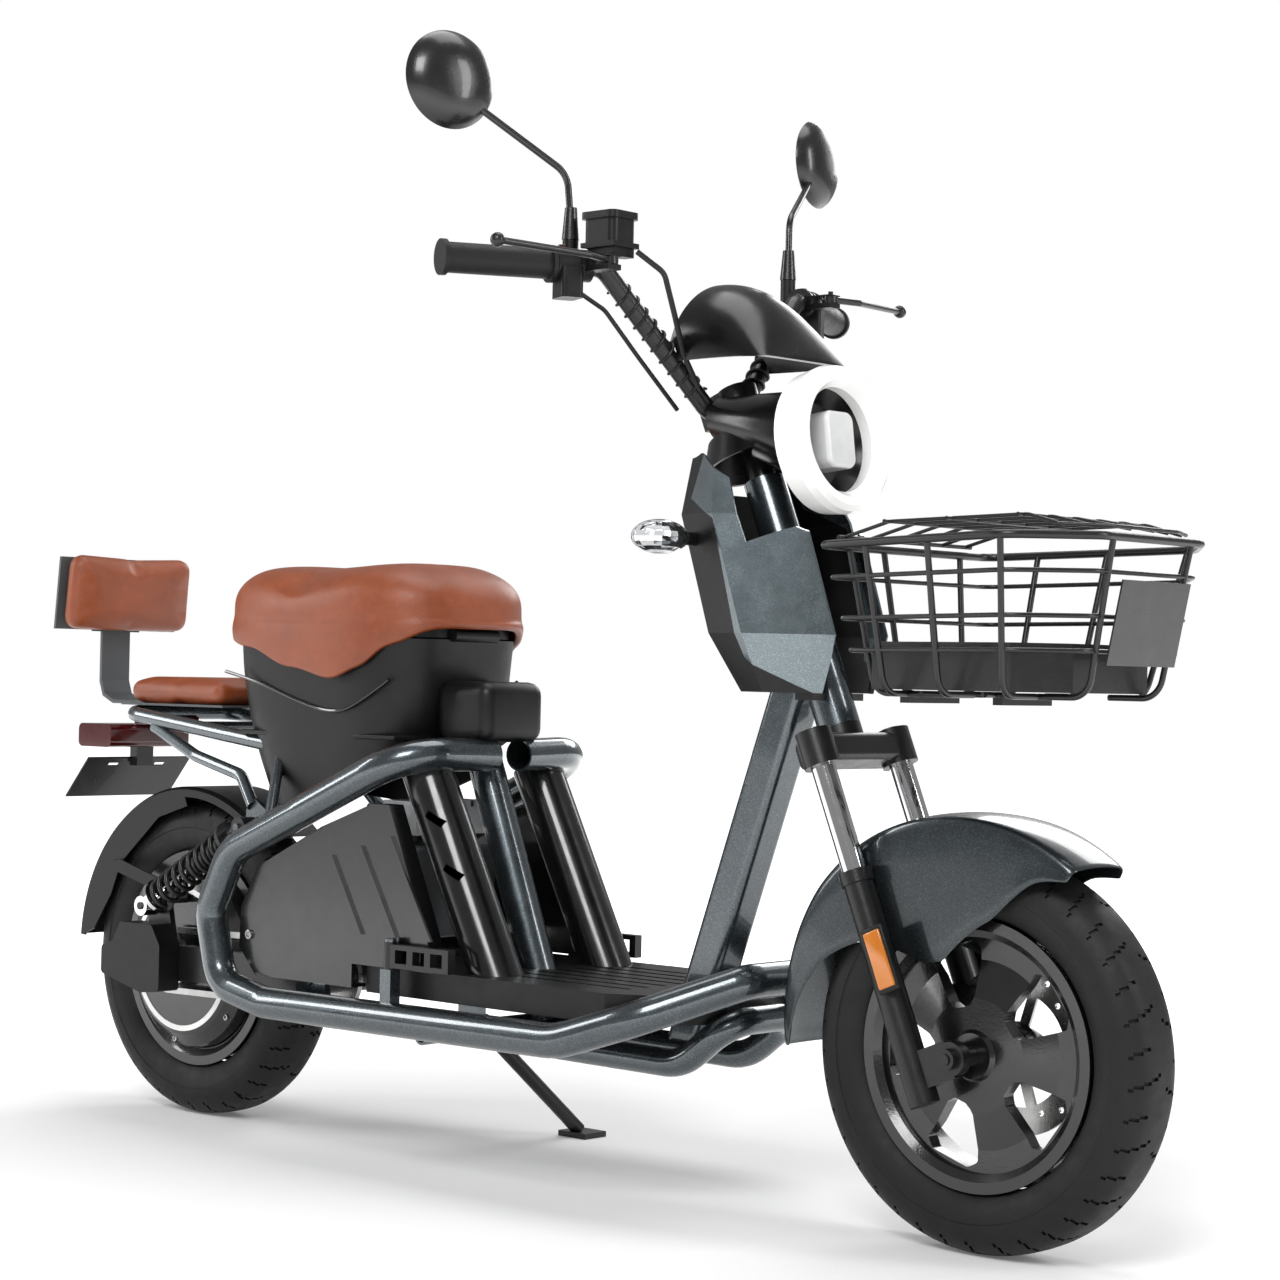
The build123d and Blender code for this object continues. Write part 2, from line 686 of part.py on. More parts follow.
nodes["handlebar"] = handlebar()
nodes["left_grip"] = grip()
nodes["throttle_grip"] = mirror(grip(), about=Plane.XZ)
nodes["handlebar_controls"] = handlebar_controls()
nodes["left_brake_lever"] = brake_lever()
nodes["right_brake_lever"] = mirror(brake_lever(), about=Plane.XZ)
nodes["horn_button"] = push_button()
nodes["start_button"] = mirror(push_button(), about=Plane.XZ)
nodes["left_mirror"] = rear_mirror()
nodes["right_mirror"] = mirror(rear_mirror(), about=Plane.XZ)
nodes["headlight_ring"] = headlight_ring()
nodes["headlight_nacelle"] = headlight_nacelle()
nodes["headlight_lens"] = headlight_lens()
nodes["handlebar_cables"] = handlebar_cables()

# ---- frame --------------------------------------------------------------------------


def frame_rail(wall=frame_tube_wall):
    """Left-hand side rail: horseshoe top, rear bend, long sill and front bend."""
    r = rail_half_y
    points = [
        (545, seat_tube_radius + 1, 500), (530, r - 12, 503), (365, r, 428), (232, r, 372), (192, r, 292),
        (216, r, 203), (300, r, 186), (800, r, 188), (905, r - 14, 222), (988, 62, 264), (988, 0, 264),
    ]
    bends = (70, 90, 60, 46, 46, 60, 120, 70, 30)
    return tube(points, bends, frame_tube_radius, wall)


seat_tube_top = (486.0, 0.0, 548.0)
seat_tube_foot = (632.0, 0.0, 182.0)


def seat_tube():
    """Central raked tube from the seat down to the belly frame."""
    return rod(seat_tube_top, seat_tube_foot, seat_tube_radius, seat_tube_radius - 3)


rail_solid = frame_rail(0)


def cross_bar(x, z, half, radius):
    return rod((x, -half, z), (x, half, z), radius, radius - 3)



def head_tube():
    return rod(head_low, head_high, head_tube_radius, stem_radius + slide_clearance)


down_top = (1006.0, 0.0, 600.0)
down_foot = (856.0, 0.0, 178.0)


def down_tube_section(width):
    axis = Vector(down_top) - Vector(down_foot)
    face = Plane(origin=down_foot, x_dir=(0, 1, 0), z_dir=axis) * RectangleRounded(width, width, width / 5)
    return extrude(face, axis.length)


def belly_loop(wall=0.0):
    b = belly_half_y
    points = [(560, -b, 166), (892, -b, 162), (962, -b, 216), (962, b, 216), (892, b, 162), (560, b, 166)]
    return tube(points, (70, 34, 34, 70), belly_tube_radius, wall)


def centre_frame():
    """Down tube, belly loop, cross bars and the welded brackets."""
    down = down_tube_section(down_tube_width) - down_tube_section(down_tube_width - 2 * down_tube_wall)
    head = rod(head_low, head_high, head_tube_radius)
    down -= head
    belly = belly_loop(2.5)
    rear_bar = cross_bar(560, 170, rail_half_y - frame_tube_radius, 12)
    middle_bar = cross_bar(632, 170, belly_half_y - belly_tube_radius, 10)
    pivot_bracket = side_plate([(pivot_x - 26, pivot_z - 42), (pivot_x + 40, pivot_z - 42),
                                (pivot_x + 26, pivot_z + 26), (pivot_x - 16, pivot_z + 26)], 117, 125)
    pivot_arm = block(pivot_x - 20, pivot_x + 34, 125, rail_half_y - frame_tube_radius + 2, 178, 192)
    pivot_bracket -= rod((pivot_x, 100, pivot_z), (pivot_x, 140, pivot_z), pivot_pin_radius)
    pivot_pin = rod((pivot_x, -127, pivot_z), (pivot_x, 127, pivot_z), pivot_pin_radius)
    pivot_side = pivot_bracket + pivot_arm - rail_solid
    bars = both_sides(pivot_side).solids() + [(rear_bar - rail_solid - mirror(rail_solid, about=Plane.XZ)).solid()]
    return group(down, belly, middle_bar, Compound(bars), pivot_pin, head_tube(), stand_bracket(),
                 both_sides(peg_bracket()))


rack_front_x = 250.0
rack_rear_x = -82.0
rack_rear_z = 538.0


def rack_loop(wall=0.0):
    h = rack_half_y
    loop_points = [(rack_front_x, -h, 500), (rack_rear_x, -h, rack_rear_z), (rack_rear_x, h, rack_rear_z),
                   (rack_front_x, h, 500)]
    return tube(loop_points, (30, 30), rack_tube_radius, wall)


def rear_rack():
    """Rack loop behind the seat, its two braces and the shock absorber brackets."""
    h = rack_half_y
    loop = rack_loop(2.0)
    brace_points = [(-20, h, 520), (66, h, 484), (162, h + 2, 462), (198, h + 12, 424)]
    brace = tube(brace_points, (60, 30), 8.0)
    bracket = side_plate([(184, 380), (238, 374), (246, 408), (200, 434), (186, 420)], h + 6, h + 13)
    bracket -= rod((shock_top_x, h, shock_top_z), (shock_top_x, h + 30, shock_top_z), 5.0)
    outrigger = block(226, 240, h + 13, rail_half_y - 12, 374, 392)
    stud = rod((shock_top_x, h + 6, shock_top_z), (shock_top_x, shock_half_y + 16, shock_top_z), 5.0)
    leg = rod((236, h, 500), (292, rail_half_y - 6, 400), 7)
    cross = cross_bar(40, 522.5, rack_half_y - rack_tube_radius, 6)
    side = brace + bracket + outrigger + stud + leg - rail_solid - rack_loop()
    return group(loop, both_sides(side), cross)


nodes["left_frame_rail"] = frame_rail()
nodes["right_frame_rail"] = mirror(frame_rail(), about=Plane.XZ)
nodes["seat_tube"] = seat_tube()
nodes["rear_rack"] = rear_rack()

# ---- swingarm, shocks and rear fender -----------------------------------------------

arm_thickness = 18.0
arm_height = 36.0


def swingarm():
    """Two box arms, the pivot tube across them and the shock studs."""
    y0 = swingarm_half_y - arm_thickness / 2
    y1 = swingarm_half_y + arm_thickness / 2
    arm = side_plate([(-34, 192), (-34, 230), (60, 234), (pivot_x, pivot_z + 20), (pivot_x, pivot_z - 20),
                      (60, 188)], y0, y1)
    ear = side_plate([(-12, 226), (46, 230), (30, 300), (-4, 300)], y1 - 8, y1)
    stud = rod((shock_low_x, y1 - 8, shock_low_z), (shock_low_x, shock_half_y + 14, shock_low_z), 5.0)
    arm = arm + ear + stud
    arm -= rod((0, 0, tyre_radius), (0, 200, tyre_radius), rear_axle_radius)
    pivot = rod((pivot_x, -y1, pivot_z), (pivot_x, y1, pivot_z), 20)
    body = arm + mirror(arm, about=Plane.XZ) + pivot
    return body - rod((pivot_x, -200, pivot_z), (pivot_x, 200, pivot_z), pivot_pin_radius + slide_clearance)


def rear_axle():
    """Axle, its nuts and spacers, and the moulded covers over its ends."""
    inner = swingarm_half_y - arm_thickness / 2
    outer = swingarm_half_y + arm_thickness / 2
    axle = rod((0, -outer - 16, tyre_radius), (0, outer + 16, tyre_radius), rear_axle_radius)
    nut = rod((0, outer, tyre_radius), (0, outer + 9, tyre_radius), 13)
    spacer = rod((0, motor_half + 0.4, tyre_radius), (0, inner, tyre_radius), 12)
    return axle + nut + mirror(nut, about=Plane.XZ) + spacer + mirror(spacer, about=Plane.XZ)


def axle_covers():
    """Moulded blocks that cover the axle ends and carry the bump pads."""
    outer = swingarm_half_y + arm_thickness / 2
    shell = side_plate([(-64, 192), (-64, 228), (-40, 236), (-26, 262), (40, 262), (58, 236), (58, 176),
                        (20, 172)], outer + 0.5, outer + 34)
    shell = fillet(shell.edges().filter_by(Axis.Y), 6)
    shell -= rod((0, outer, tyre_radius), (0, outer + 20, tyre_radius), 16)
    return both_sides(shell)


chain_y = 76.0
sprocket_radius = 40.4
chain_half_height = 4.0
chain_half_width = 3.5


def chain_loop(inner, outer):
    """A belt round both sprockets, between two offsets from its inside."""
    length = hypot(pivot_x, pivot_z - tyre_radius)
    tilt = degrees(atan2(pivot_z - tyre_radius, pivot_x))
    face = SlotCenterToCenter(length, 2 * outer) - SlotCenterToCenter(length, 2 * inner)
    belt = Rot(90, 0, 0) * extrude(face, chain_half_width, both=True)
    return Pos(pivot_x / 2, 0, (tyre_radius + pivot_z) / 2) * Rot(0, -tilt, 0) * belt


def chain_drive():
    """Pedal chain and its two sprockets, on the right of the swingarm."""
    belt = Pos(0, -chain_y, 0) * chain_loop(sprocket_radius - chain_half_height, sprocket_radius + chain_half_height)
    shapes = [belt]
    for x, z, bore in ((0, tyre_radius, 12), (pivot_x, pivot_z, 20)):
        disc = Rot(90, 0, 0) * (Cylinder(sprocket_radius - chain_half_height, 4) - Cylinder(bore, 8))
        shapes.append(Pos(x, -chain_y, z) * disc)
    return group(*shapes)


def rear_fender():
    """Fender over the rear wheel, with cheeks at its tail."""
    w = 54.0
    radius = 230.0
    top = wheel_cover(0, radius, w, 48, 176)
    inner = [(-196, 236), (-160, 286), (-140, 330), (-60, 396), (0, 414)]
    cheek = fender_skirt(0, radius - 8, w, (92, 176), inner)
    body = top + cheek + mirror(cheek, about=Plane.XZ)
    stay = side_plate([(-150, 322), (-132, 336), (16, 300), (16, 286), (0, 286)], w + 7, w + 10)
    foot = block(-148, -134, w - 1, w + 8, 320, 334)
    tab = block(0, 16, w + 7, swingarm_half_y + arm_thickness / 2 - 8, 286, 292)
    side = stay + foot + tab
    return body + side + mirror(side, about=Plane.XZ)


shock_axis = (Vector(shock_low_x, 0, shock_low_z) - Vector(shock_top_x, 0, shock_top_z)).normalized()
shock_length = hypot(shock_top_x - shock_low_x, shock_top_z - shock_low_z)


def on_shock(distance, side=shock_half_y):
    """A point down the shock absorber, from its top eye."""
    start = Vector(shock_top_x, side, shock_top_z)
    return tuple(start + shock_axis * distance)


def shock_body():
    """Damper tube with its top eye and the upper spring seat."""
    eye = rod((shock_top_x, shock_half_y - 12, shock_top_z), (shock_top_x, shock_half_y + 12, shock_top_z), 13)
    tube_body = rod(on_shock(9), on_shock(118), 12)
    seat = rod(on_shock(30), on_shock(36), 23)
    body = eye + tube_body + seat
    body -= rod(on_shock(40), on_shock(130), 7.0)
    return body - rod((shock_top_x, 100, shock_top_z), (shock_top_x, 150, shock_top_z), 5.0 + slide_clearance)


def shock_rod():
    """Damper rod with its lower eye and the lower spring seat."""
    eye = rod((shock_low_x, shock_half_y - 12, shock_low_z), (shock_low_x, shock_half_y + 12, shock_low_z), 13)
    bar = rod(on_shock(84), on_shock(shock_length - 8), 5.5)
    seat = rod(on_shock(shock_length - 30), on_shock(shock_length - 24), 23)
    cup = rod(on_shock(shock_length - 30), on_shock(shock_length), 11)
    body = eye + bar + seat + cup
    return body - rod((shock_low_x, 100, shock_low_z), (shock_low_x, 150, shock_low_z), 5.0 + slide_clearance)


spring_radius = 18.0
spring_wire = 3.2
spring_turns = 9


def shock_spring():
    """Coil spring between the two seats."""
    start = 36 + spring_wire + 0.2
    length = shock_length - 30 - 36 - 2 * spring_wire - 0.4
    coil_path = Helix(pitch=length / spring_turns, height=length, radius=spring_radius)
    section = Plane(origin=coil_path @ 0, z_dir=coil_path % 0) * Circle(spring_wire)
    coil = sweep(section, path=coil_path, is_frenet=True)
    base = Plane(origin=on_shock(start), z_dir=tuple(shock_axis))
    return base * coil


nodes["swingarm"] = swingarm()
nodes["rear_axle"] = rear_axle()
nodes["axle_covers"] = axle_covers()
nodes["chain_drive"] = chain_drive()
nodes["rear_fender"] = rear_fender()
nodes["shock_bodies"] = both_sides(shock_body())
nodes["shock_rods"] = both_sides(shock_rod())
nodes["shock_springs"] = both_sides(shock_spring())

# ---- bodywork -----------------------------------------------------------------------


def floorboard():
    """Ribbed step plate between the rails, open round the down tube."""
    half = rail_half_y - frame_tube_radius - 4
    low = floor_top_z - floor_thickness
    outline = [(452, half - 6), (700, half), (850, half), (900, half - 26), (942, 40), (942, -40),
               (900, -half + 26), (850, -half), (700, -half), (452, -half + 6)]
    plate = extrude(Pos(0, 0, low) * make_face(Polyline(*[(x, y, 0) for x, y in outline], close=True)),
                    floor_thickness)
    plate -= Pos(0, 0, -6) * extrude(
        Pos(0, 0, low) * make_face(Polyline(*[(x * 0.985 + 10, y * 0.96, 0) for x, y in outline], close=True)),
        floor_thickness)
    for y in range(-90, 91, 30):
        plate -= block(640, 840, y - 4, y + 4, floor_top_z - 2, floor_top_z + 1)
    plate -= down_tube_section(down_tube_width + 4)
    plate -= rod(seat_tube_top, seat_tube_foot, seat_tube_radius + 1)
    plate -= belly_loop()
    return plate - rail_solid - mirror(rail_solid, about=Plane.XZ)


column_low = (628.0, 96.0, 250.0)
column_high = (508.0, 96.0, 478.0)
column_radius = 31.0


def floor_block():
    """The space of the step plate, for what stands beside it."""
    return block(440, 960, -rail_half_y, rail_half_y, floor_top_z - floor_thickness - 1, floor_top_z)


def side_cover():
    """Left-hand cover of the battery bay, inside the rail, with three raised ribs."""
    y = rail_half_y - 16
    outline = [(230, 250), (232, 300), (262, 352), (380, 408), (470, 440), (500, 440), (585, 250), (560, 216),
               (262, 216)]
    plate = side_plate(outline, y - 3, y)
    for i in range(3):
        x = 392 + 52 * i
        top = 372 + 14 * i
        foot = 282
        slope = (top - foot) * 0.62
        rib = side_plate([(x, top), (x + 12, top + 3), (x + 12 + slope, foot), (x + slope, foot)], y, y + 4)
        plate += rib
    rim = side_plate(outline, 128, y - 2)
    hollow = [(x * 0.985 + 6, (z - 330) * 0.96 + 330) for x, z in outline]
    plate += rim - side_plate(hollow, 120, y - 3)
    plate -= rod(along(column_low, column_high, -60), along(column_high, column_low, -60), column_radius + 1)
    return plate - floor_block()



def column_cover():
    """Left-hand round column beside the seat tube, closed at its top, with slots."""
    column = rod(along(column_low, column_high, -30), column_high, column_radius, column_radius - 3)
    for distance in (60, 130):
        centre = along(column_high, column_low, distance)
        column -= Pos(centre[0] + 14, centre[1] + 26, centre[2]) * Rot(0, 28, 0) * Box(26, 30, 9)
    column -= block(500, 760, 40, 150, 180, floor_top_z)
    cap = rod(column_high, along(column_high, column_low, -6), column_radius)
    return (column + cap) - rail_solid


def battery_pack():
    """Battery case inside the bay, raked like the seat tube."""
    pack = side_plate([(262, 268), (440, 268), (452, 386), (330, 372), (262, 330)], -84, 84)
    return fillet(pack.edges().filter_by(Axis.Y), 6)


def motor_controller():
    """Finned controller box behind the seat tube."""
    box = block(392, 452, -60, 60, 398, 440)
    for i in range(7):
        y = -54 + 18 * i
        box -= block(390, 454, y - 2.5, y + 2.5, 432, 441)
    return box


def seat_body():
    """Moulded body under the seat: open box above, tail skirts below."""
    top = seat_base_z - 14
    rear = seat_rear_x + 6
    outer = [(rear, top), (rear + 4, 560), (rear + 30, 500), (rear + 70, 430), (275, 418), (470, 502),
             (seat_front_x - 10, 520), (seat_front_x - 6, top)]
    shell = side_plate(outer, -seat_half_width + 10, seat_half_width - 10)
    well = block(rear + 8, seat_front_x - 16, -seat_half_width + 16, seat_half_width - 16, 524, top + 2)
    shell -= well
    under = side_plate([(rear + 24, 516), (rear + 60, 440), (275, 424), (460, 504), (470, 516)], -seat_half_width + 14,
                       seat_half_width - 14)
    shell -= under
    groove = side_plate([(rear + 40, 596), (330, 560), (470, 606), (470, 602), (330, 556), (rear + 40, 592)],
                        seat_half_width - 12, seat_half_width)
    shell -= groove + mirror(groove, about=Plane.XZ)
    shell -= rod(seat_tube_top, seat_tube_foot, seat_tube_radius + 0.5)
    shell -= rail_solid
    shell -= mirror(rail_solid, about=Plane.XZ)
    for solid in nodes["rear_rack"].solids():
        shell -= solid
    shell -= rack_loop()
    shell -= both_sides(rod((236, rack_half_y, 500), (292, rail_half_y - 6, 400), 7.2))
    shell -= block(seat_hinge_x - 18, seat_front_x, -39, 39, seat_hinge_z - 14, top + 2)
    hinge_ear = block(seat_hinge_x - 7, seat_hinge_x + 7, 40, 52, 600, seat_hinge_z + 7)
    shell = shell + hinge_ear + mirror(hinge_ear, about=Plane.XZ)
    pin = rod((seat_hinge_x, -58, seat_hinge_z), (seat_hinge_x, 58, seat_hinge_z), hinge_pin_radius)
    shell = max((shell - pin).solids(), key=lambda s: s.volume)
    return group(shell, pin, lock_block())


hinge_pin_radius = 4.0


def lock_block():
    """Seat lock housing in front of the seat body."""
    housing = block(seat_front_x - 4, 562, -46, 46, 522, 582, 8)
    housing -= rod(seat_tube_top, seat_tube_foot, seat_tube_radius + 0.5)
    return housing


def rear_seat_pad():
    return fillet(block(-92, 116, -98, 98, rack_rear_z + rack_tube_radius + 3.2, 586).edges(), 12)


def backrest_frame():
    """Flat stay from under the rear seat up to the back shell."""
    z = rack_rear_z + rack_tube_radius
    base = block(-100, 112, -90, 90, z, z + 3)
    stay = side_plate([(-98, z), (-205, z), (-228, z + 10), (-236, z + 30), (-236, 662), (-231, 662), (-231, z + 32),
                       (-224, z + 14), (-204, z + 5), (-98, z + 3)], -24, 24)
    shell = side_plate([(-236.5, 650), (-226, 750), (-222.2, 750), (-232.7, 650)], -104, 104)
    shell += side_plate([(-236, 648), (-231, 648), (-231, 664), (-236, 664)], -40, 40)
    return (base + stay + shell) - backrest_pad()


def backrest_pad():
    pad = Pos(-205, 0, 701) * Rot(0, 6, 0) * Box(38, 214, 112)
    return fillet(pad.edges(), 14)


def tail_light():
    """Tail lamp body, its lens step and the bracket up to the rack."""
    body = fillet(block(-222, -150, -68, 68, 488, 520).edges().filter_by(Axis.Y), 8)
    bracket = block(-160, -70, -20, 20, 520, 526)
    riser = block(-86, -70, -20, 20, 526, 532)
    return (body + bracket + riser) - rack_loop()


def licence_plate():
    """Bare plate on its bracket, leaning back, with two slots."""
    plate = Pos(-196, 0, 446) * Rot(0, 42, 0) * Box(2, 178, 74)
    for side in (-1, 1):
        plate -= Pos(-180, side * 40, 464) * Rot(0, 42, 0) * Box(8, 18, 6)
    bracket = block(-176, -160, -14, 14, 462, 488)
    bracket -= Pos(-196, 0, 446) * Rot(0, 42, 0) * Box(2, 178, 74)
    return group(plate, bracket)


nodes["floorboard"] = floorboard()
nodes["side_covers"] = group(both_sides(side_cover()), both_sides(column_cover()))
nodes["battery_pack"] = battery_pack()
nodes["motor_controller"] = motor_controller()
nodes["seat_body"] = seat_body()
nodes["rear_seat_pad"] = rear_seat_pad()
nodes["backrest_frame"] = backrest_frame()
nodes["backrest_pad"] = backrest_pad()
nodes["tail_light"] = tail_light()
nodes["licence_plate"] = licence_plate()

# ---- front fairing and basket -------------------------------------------------------


def fairing_section(z, rear, side, front, side_half, front_half, inset):
    """One level slice of the fairing, smaller by the inset."""
    i = inset
    outline = [(rear + i, side_half - 18 - i), (side, side_half - i), (front - i, front_half - i),
               (front - i, -front_half + i), (side, -side_half + i), (rear + i, -side_half + 18 + i)]
    return make_face(Polyline(*[(x, y, z) for x, y in outline], close=True))


def fairing_hull(inset, extra):
    """The fairing's outer or inner form, lofted through four levels."""
    sections = [
        fairing_section(586 - extra, 985, 1030, 1076, 96, 44, inset),
        fairing_section(650, 958, 1020, 1092, 122, 48, inset),
        fairing_section(782, 915, 975, 1046, 122, 52, inset),
        fairing_section(852 + extra, 905, 950, 1004, 92, 50, inset),
    ]
    return loft(Sketch() + sections, ruled=True)


def panel_region():
    """The side panels' outline, seen from the side."""
    outline = [(930, 870), (926, 800), (976, 776), (1014, 624), (1090, 570), (1150, 570), (1150, 660), (1100, 800),
               (1060, 870)]
    return side_plate(outline, 46, 200)


def steering_sweep():
    """The space that the lamp and its body need as the steering turns."""
    profile = [(40, 262), (60, 248), (106, 238), (120, 264), (148, 322), (152, 430), (40, 430)]
    face = make_face(Polyline(*[(r, 0, up) for r, up in profile], close=True))
    fan = Rot(0, 0, -76) * revolve(face, Axis.Z, 152)
    drum = Pos(0, 0, 328) * Cylinder(82, 120, align=(Align.CENTER, Align.CENTER, Align.MIN))
    return steering * (fan + drum)


def fairing_shell():
    """The fairing's wall, open below, with its top cut down towards the lamp."""
    above = side_plate([(880, 878), (930, 850), (975, 822), (1008, 786), (1060, 760), (1140, 760), (1140, 960),
                        (880, 960)], -200, 200)
    shell = fairing_hull(0, 0) - fairing_hull(3, 1) - above
    shell -= down_tube_section(down_tube_width + 4)
    return shell - rod(head_low, head_high, head_tube_radius + 2) - steering_sweep()


def fairing_panels():
    shell = fairing_shell()
    panel = shell & panel_region()
    return both_sides(max(panel.solids(), key=lambda s: s.volume))


def fairing_core():
    """Inner shell: rear leg shield, nose strip, top deck and signal stalks."""
    shell = fairing_shell()
    region = panel_region()
    shell -= region
    shell -= mirror(region, about=Plane.XZ)
    return max(shell.solids(), key=lambda s: s.volume)


def turn_signals():
    """Left-hand signal: stalk and faceted lens."""
    stalk = rod((936, 100, 754), (936, 138, 754), 7)
    lens = Pos(936, 162, 754) * Rot(90, 0, 0) * Cylinder(19, 50)
    lens = fillet(lens.edges(), 8)
    return (stalk + lens) - fairing_hull(0, 0)


def rim_height(x):
    """The basket's rim rises a little towards the front."""
    return basket_rim_z + basket_rise * (x - basket_rear_x) / (basket_front_x - basket_rear_x)


def basket_corner(x, y, z=None):
    return (x, y, rim_height(x) if z is None else z)


basket_rear_half = 153.0
basket_side_half = 178.0
basket_side_x = 1404.0
basket_front_half = 92.0
floor_rear_half = 116.0
floor_side_half = 134.0
floor_front_half = 82.0
floor_rear_x = 1172.0
floor_side_x = 1380.0
floor_front_x = 1430.0


def basket_ring(z_low, share, radius, radii):
    """A closed wire round the basket, a share of the way from floor to rim."""
    def mix(a, b):
        return a + (b - a) * share
    corners = []
    for rim, floor in (
        ((basket_rear_x, basket_rear_half), (floor_rear_x, floor_rear_half)),
        ((basket_side_x, basket_side_half), (floor_side_x, floor_side_half)),
        ((basket_front_x, basket_front_half), (floor_front_x, floor_front_half)),
    ):
        x = mix(floor[0], rim[0])
        y = mix(floor[1], rim[1])
        z = mix(z_low, rim_height(rim[0]))
        corners.append((x, y, z))
    loop = corners + [mirrored(c) for c in reversed(corners)]
    middle_rear = ((loop[0][0] + loop[-1][0]) / 2, 0, loop[0][2])
    points = [middle_rear] + loop + [(middle_rear[0], -0.5, middle_rear[2])]
    return tube(points, radii, radius)


def basket_upright(rim, floor, foot):
    """A wire from the rim down the wall and along under the floor."""
    return tube([(rim[0], rim[1], rim_height(rim[0])), floor, foot], (24,), wire_radius + 0.8)


def basket_frame():
    """Wire basket: rim, two hoops, uprights, floor wires and bottom rails."""
    bends = (20, 30, 26, 26, 30, 20)
    rim = basket_ring(basket_floor_z, 1.0, rim_wire_radius, bends)
    hoops = [basket_ring(basket_floor_z, s, wire_radius, bends) for s in (0.78, 0.5, 0.28)]
    z = basket_floor_z - 2
    uprights = []
    for rim_xy, floor_xy in (
        ((basket_front_x, 74), (floor_front_x, 66)),
        ((basket_side_x - 8, basket_side_half - 2), (floor_side_x - 8, floor_side_half - 1)),
        ((1300, 167), (1290, 127)),
        ((1215, 158.6), (1215, 120)),
    ):
        floor = (floor_xy[0], floor_xy[1], z)
        foot = (floor_xy[0] - 60 if floor_xy[1] < 100 else floor_xy[0], max(floor_xy[1] - 60, 30) if floor_xy[1] > 100
                else floor_xy[1], z)
        uprights.append(basket_upright(rim_xy, floor, foot))
    for y in (40, 100):
        uprights.append(tube([(basket_rear_x, y, rim_height(basket_rear_x)), (floor_rear_x, y * 0.8, z),
                              (floor_rear_x + 60, y * 0.8, z)], (20,), wire_radius + 0.8))
    rail = block(1040, 1330, 34, 46, z - 10, z - 2)
    frame = rim
    for hoop in hoops:
        frame += hoop
    for wire in uprights:
        frame += wire + mirror(wire, about=Plane.XZ)
    frame += rail + mirror(rail, about=Plane.XZ)
    cross = block(1180, 1192, -46, 46, z - 10, z - 2) + block(1300, 1312, -46, 46, z - 10, z - 2)
    bridge = block(1036, 1060, -46, 46, z - 10, z - 2)
    return (frame + cross + bridge) - rod(head_low, head_high, head_tube_radius)


def basket_tray():
    """Sheet tray in the bottom of the basket."""
    outline = [(floor_rear_x + 12, floor_rear_half - 14), (floor_side_x - 8, floor_side_half - 15),
               (floor_front_x - 16, floor_front_half - 12), (floor_front_x - 16, -floor_front_half + 12),
               (floor_side_x - 8, -floor_side_half + 15), (floor_rear_x + 12, -floor_rear_half + 14)]
    z = basket_floor_z + 2.4
    outer = extrude(Pos(0, 0, z) * make_face(Polyline(*[(x, y, 0) for x, y in outline], close=True)),
                    basket_tray_height)
    inner_outline = [(x * 0.9975 + 3.2 * (1 if x < 1300 else -0.1), y * 0.985) for x, y in outline]
    inner = extrude(Pos(0, 0, z + 1.5) * make_face(
        Polyline(*[(x, y, 0) for x, y in inner_outline], close=True)), basket_tray_height)
    return outer - inner


def basket_plate():
    """Bare name plate on the front of the basket, with four screws."""
    plate = Pos(basket_front_x - 4, 0, 664) * Rot(0, 12, 0) * Box(2, 128, 88)
    return plate - nodes["basket_frame"]


lid_hinge_x = basket_rear_x
lid_hinge_z = basket_rim_z + 9


def basket_lid():
    """Wire lid, arched, hinged on the rear of the rim, with a hook in front."""
    z0 = lid_hinge_z + 1
    hinge = rod((lid_hinge_x, -120, z0), (lid_hinge_x, 120, z0), wire_radius)
    arches = []
    rise = 16
    for y in (-110, -66, -22, 22, 66, 110):
        front_x = basket_front_x - 8 - abs(y) * 0.24
        arches.append(tube([(lid_hinge_x, y, z0), (lid_hinge_x + 60, y, z0 + rise), (basket_side_x - 20, y, z0 + rise + 4),
                            (front_x, y, z0 + 8)], (30, 30), 2.0))
    crosses = []
    for x, lift in ((lid_hinge_x + 60, rise), (1290, rise + 1.6), (basket_side_x - 26, rise + 3.8)):
        crosses.append(rod((x, -120, z0 + lift), (x, 120, z0 + lift), 2.0))
    front = tube([(basket_front_x - 36, -122, z0 + 9), (basket_front_x - 8, -60, z0 + 9), (basket_front_x - 8, 60, z0 + 9),
                  (basket_front_x - 36, 122, z0 + 9)], (20, 20), 2.0)
    lid = hinge + front
    for wire in arches + crosses:
        lid += wire
    return lid


nodes["fairing_panels"] = fairing_panels()
nodes["fairing_core"] = fairing_core()
nodes["turn_signals"] = both_sides(turn_signals())
nodes["basket_frame"] = basket_frame()
nodes["basket_tray"] = basket_tray()
nodes["basket_plate"] = basket_plate()
nodes["basket_lid"] = basket_lid()

# ---- seat, stand and pegs -----------------------------------------------------------


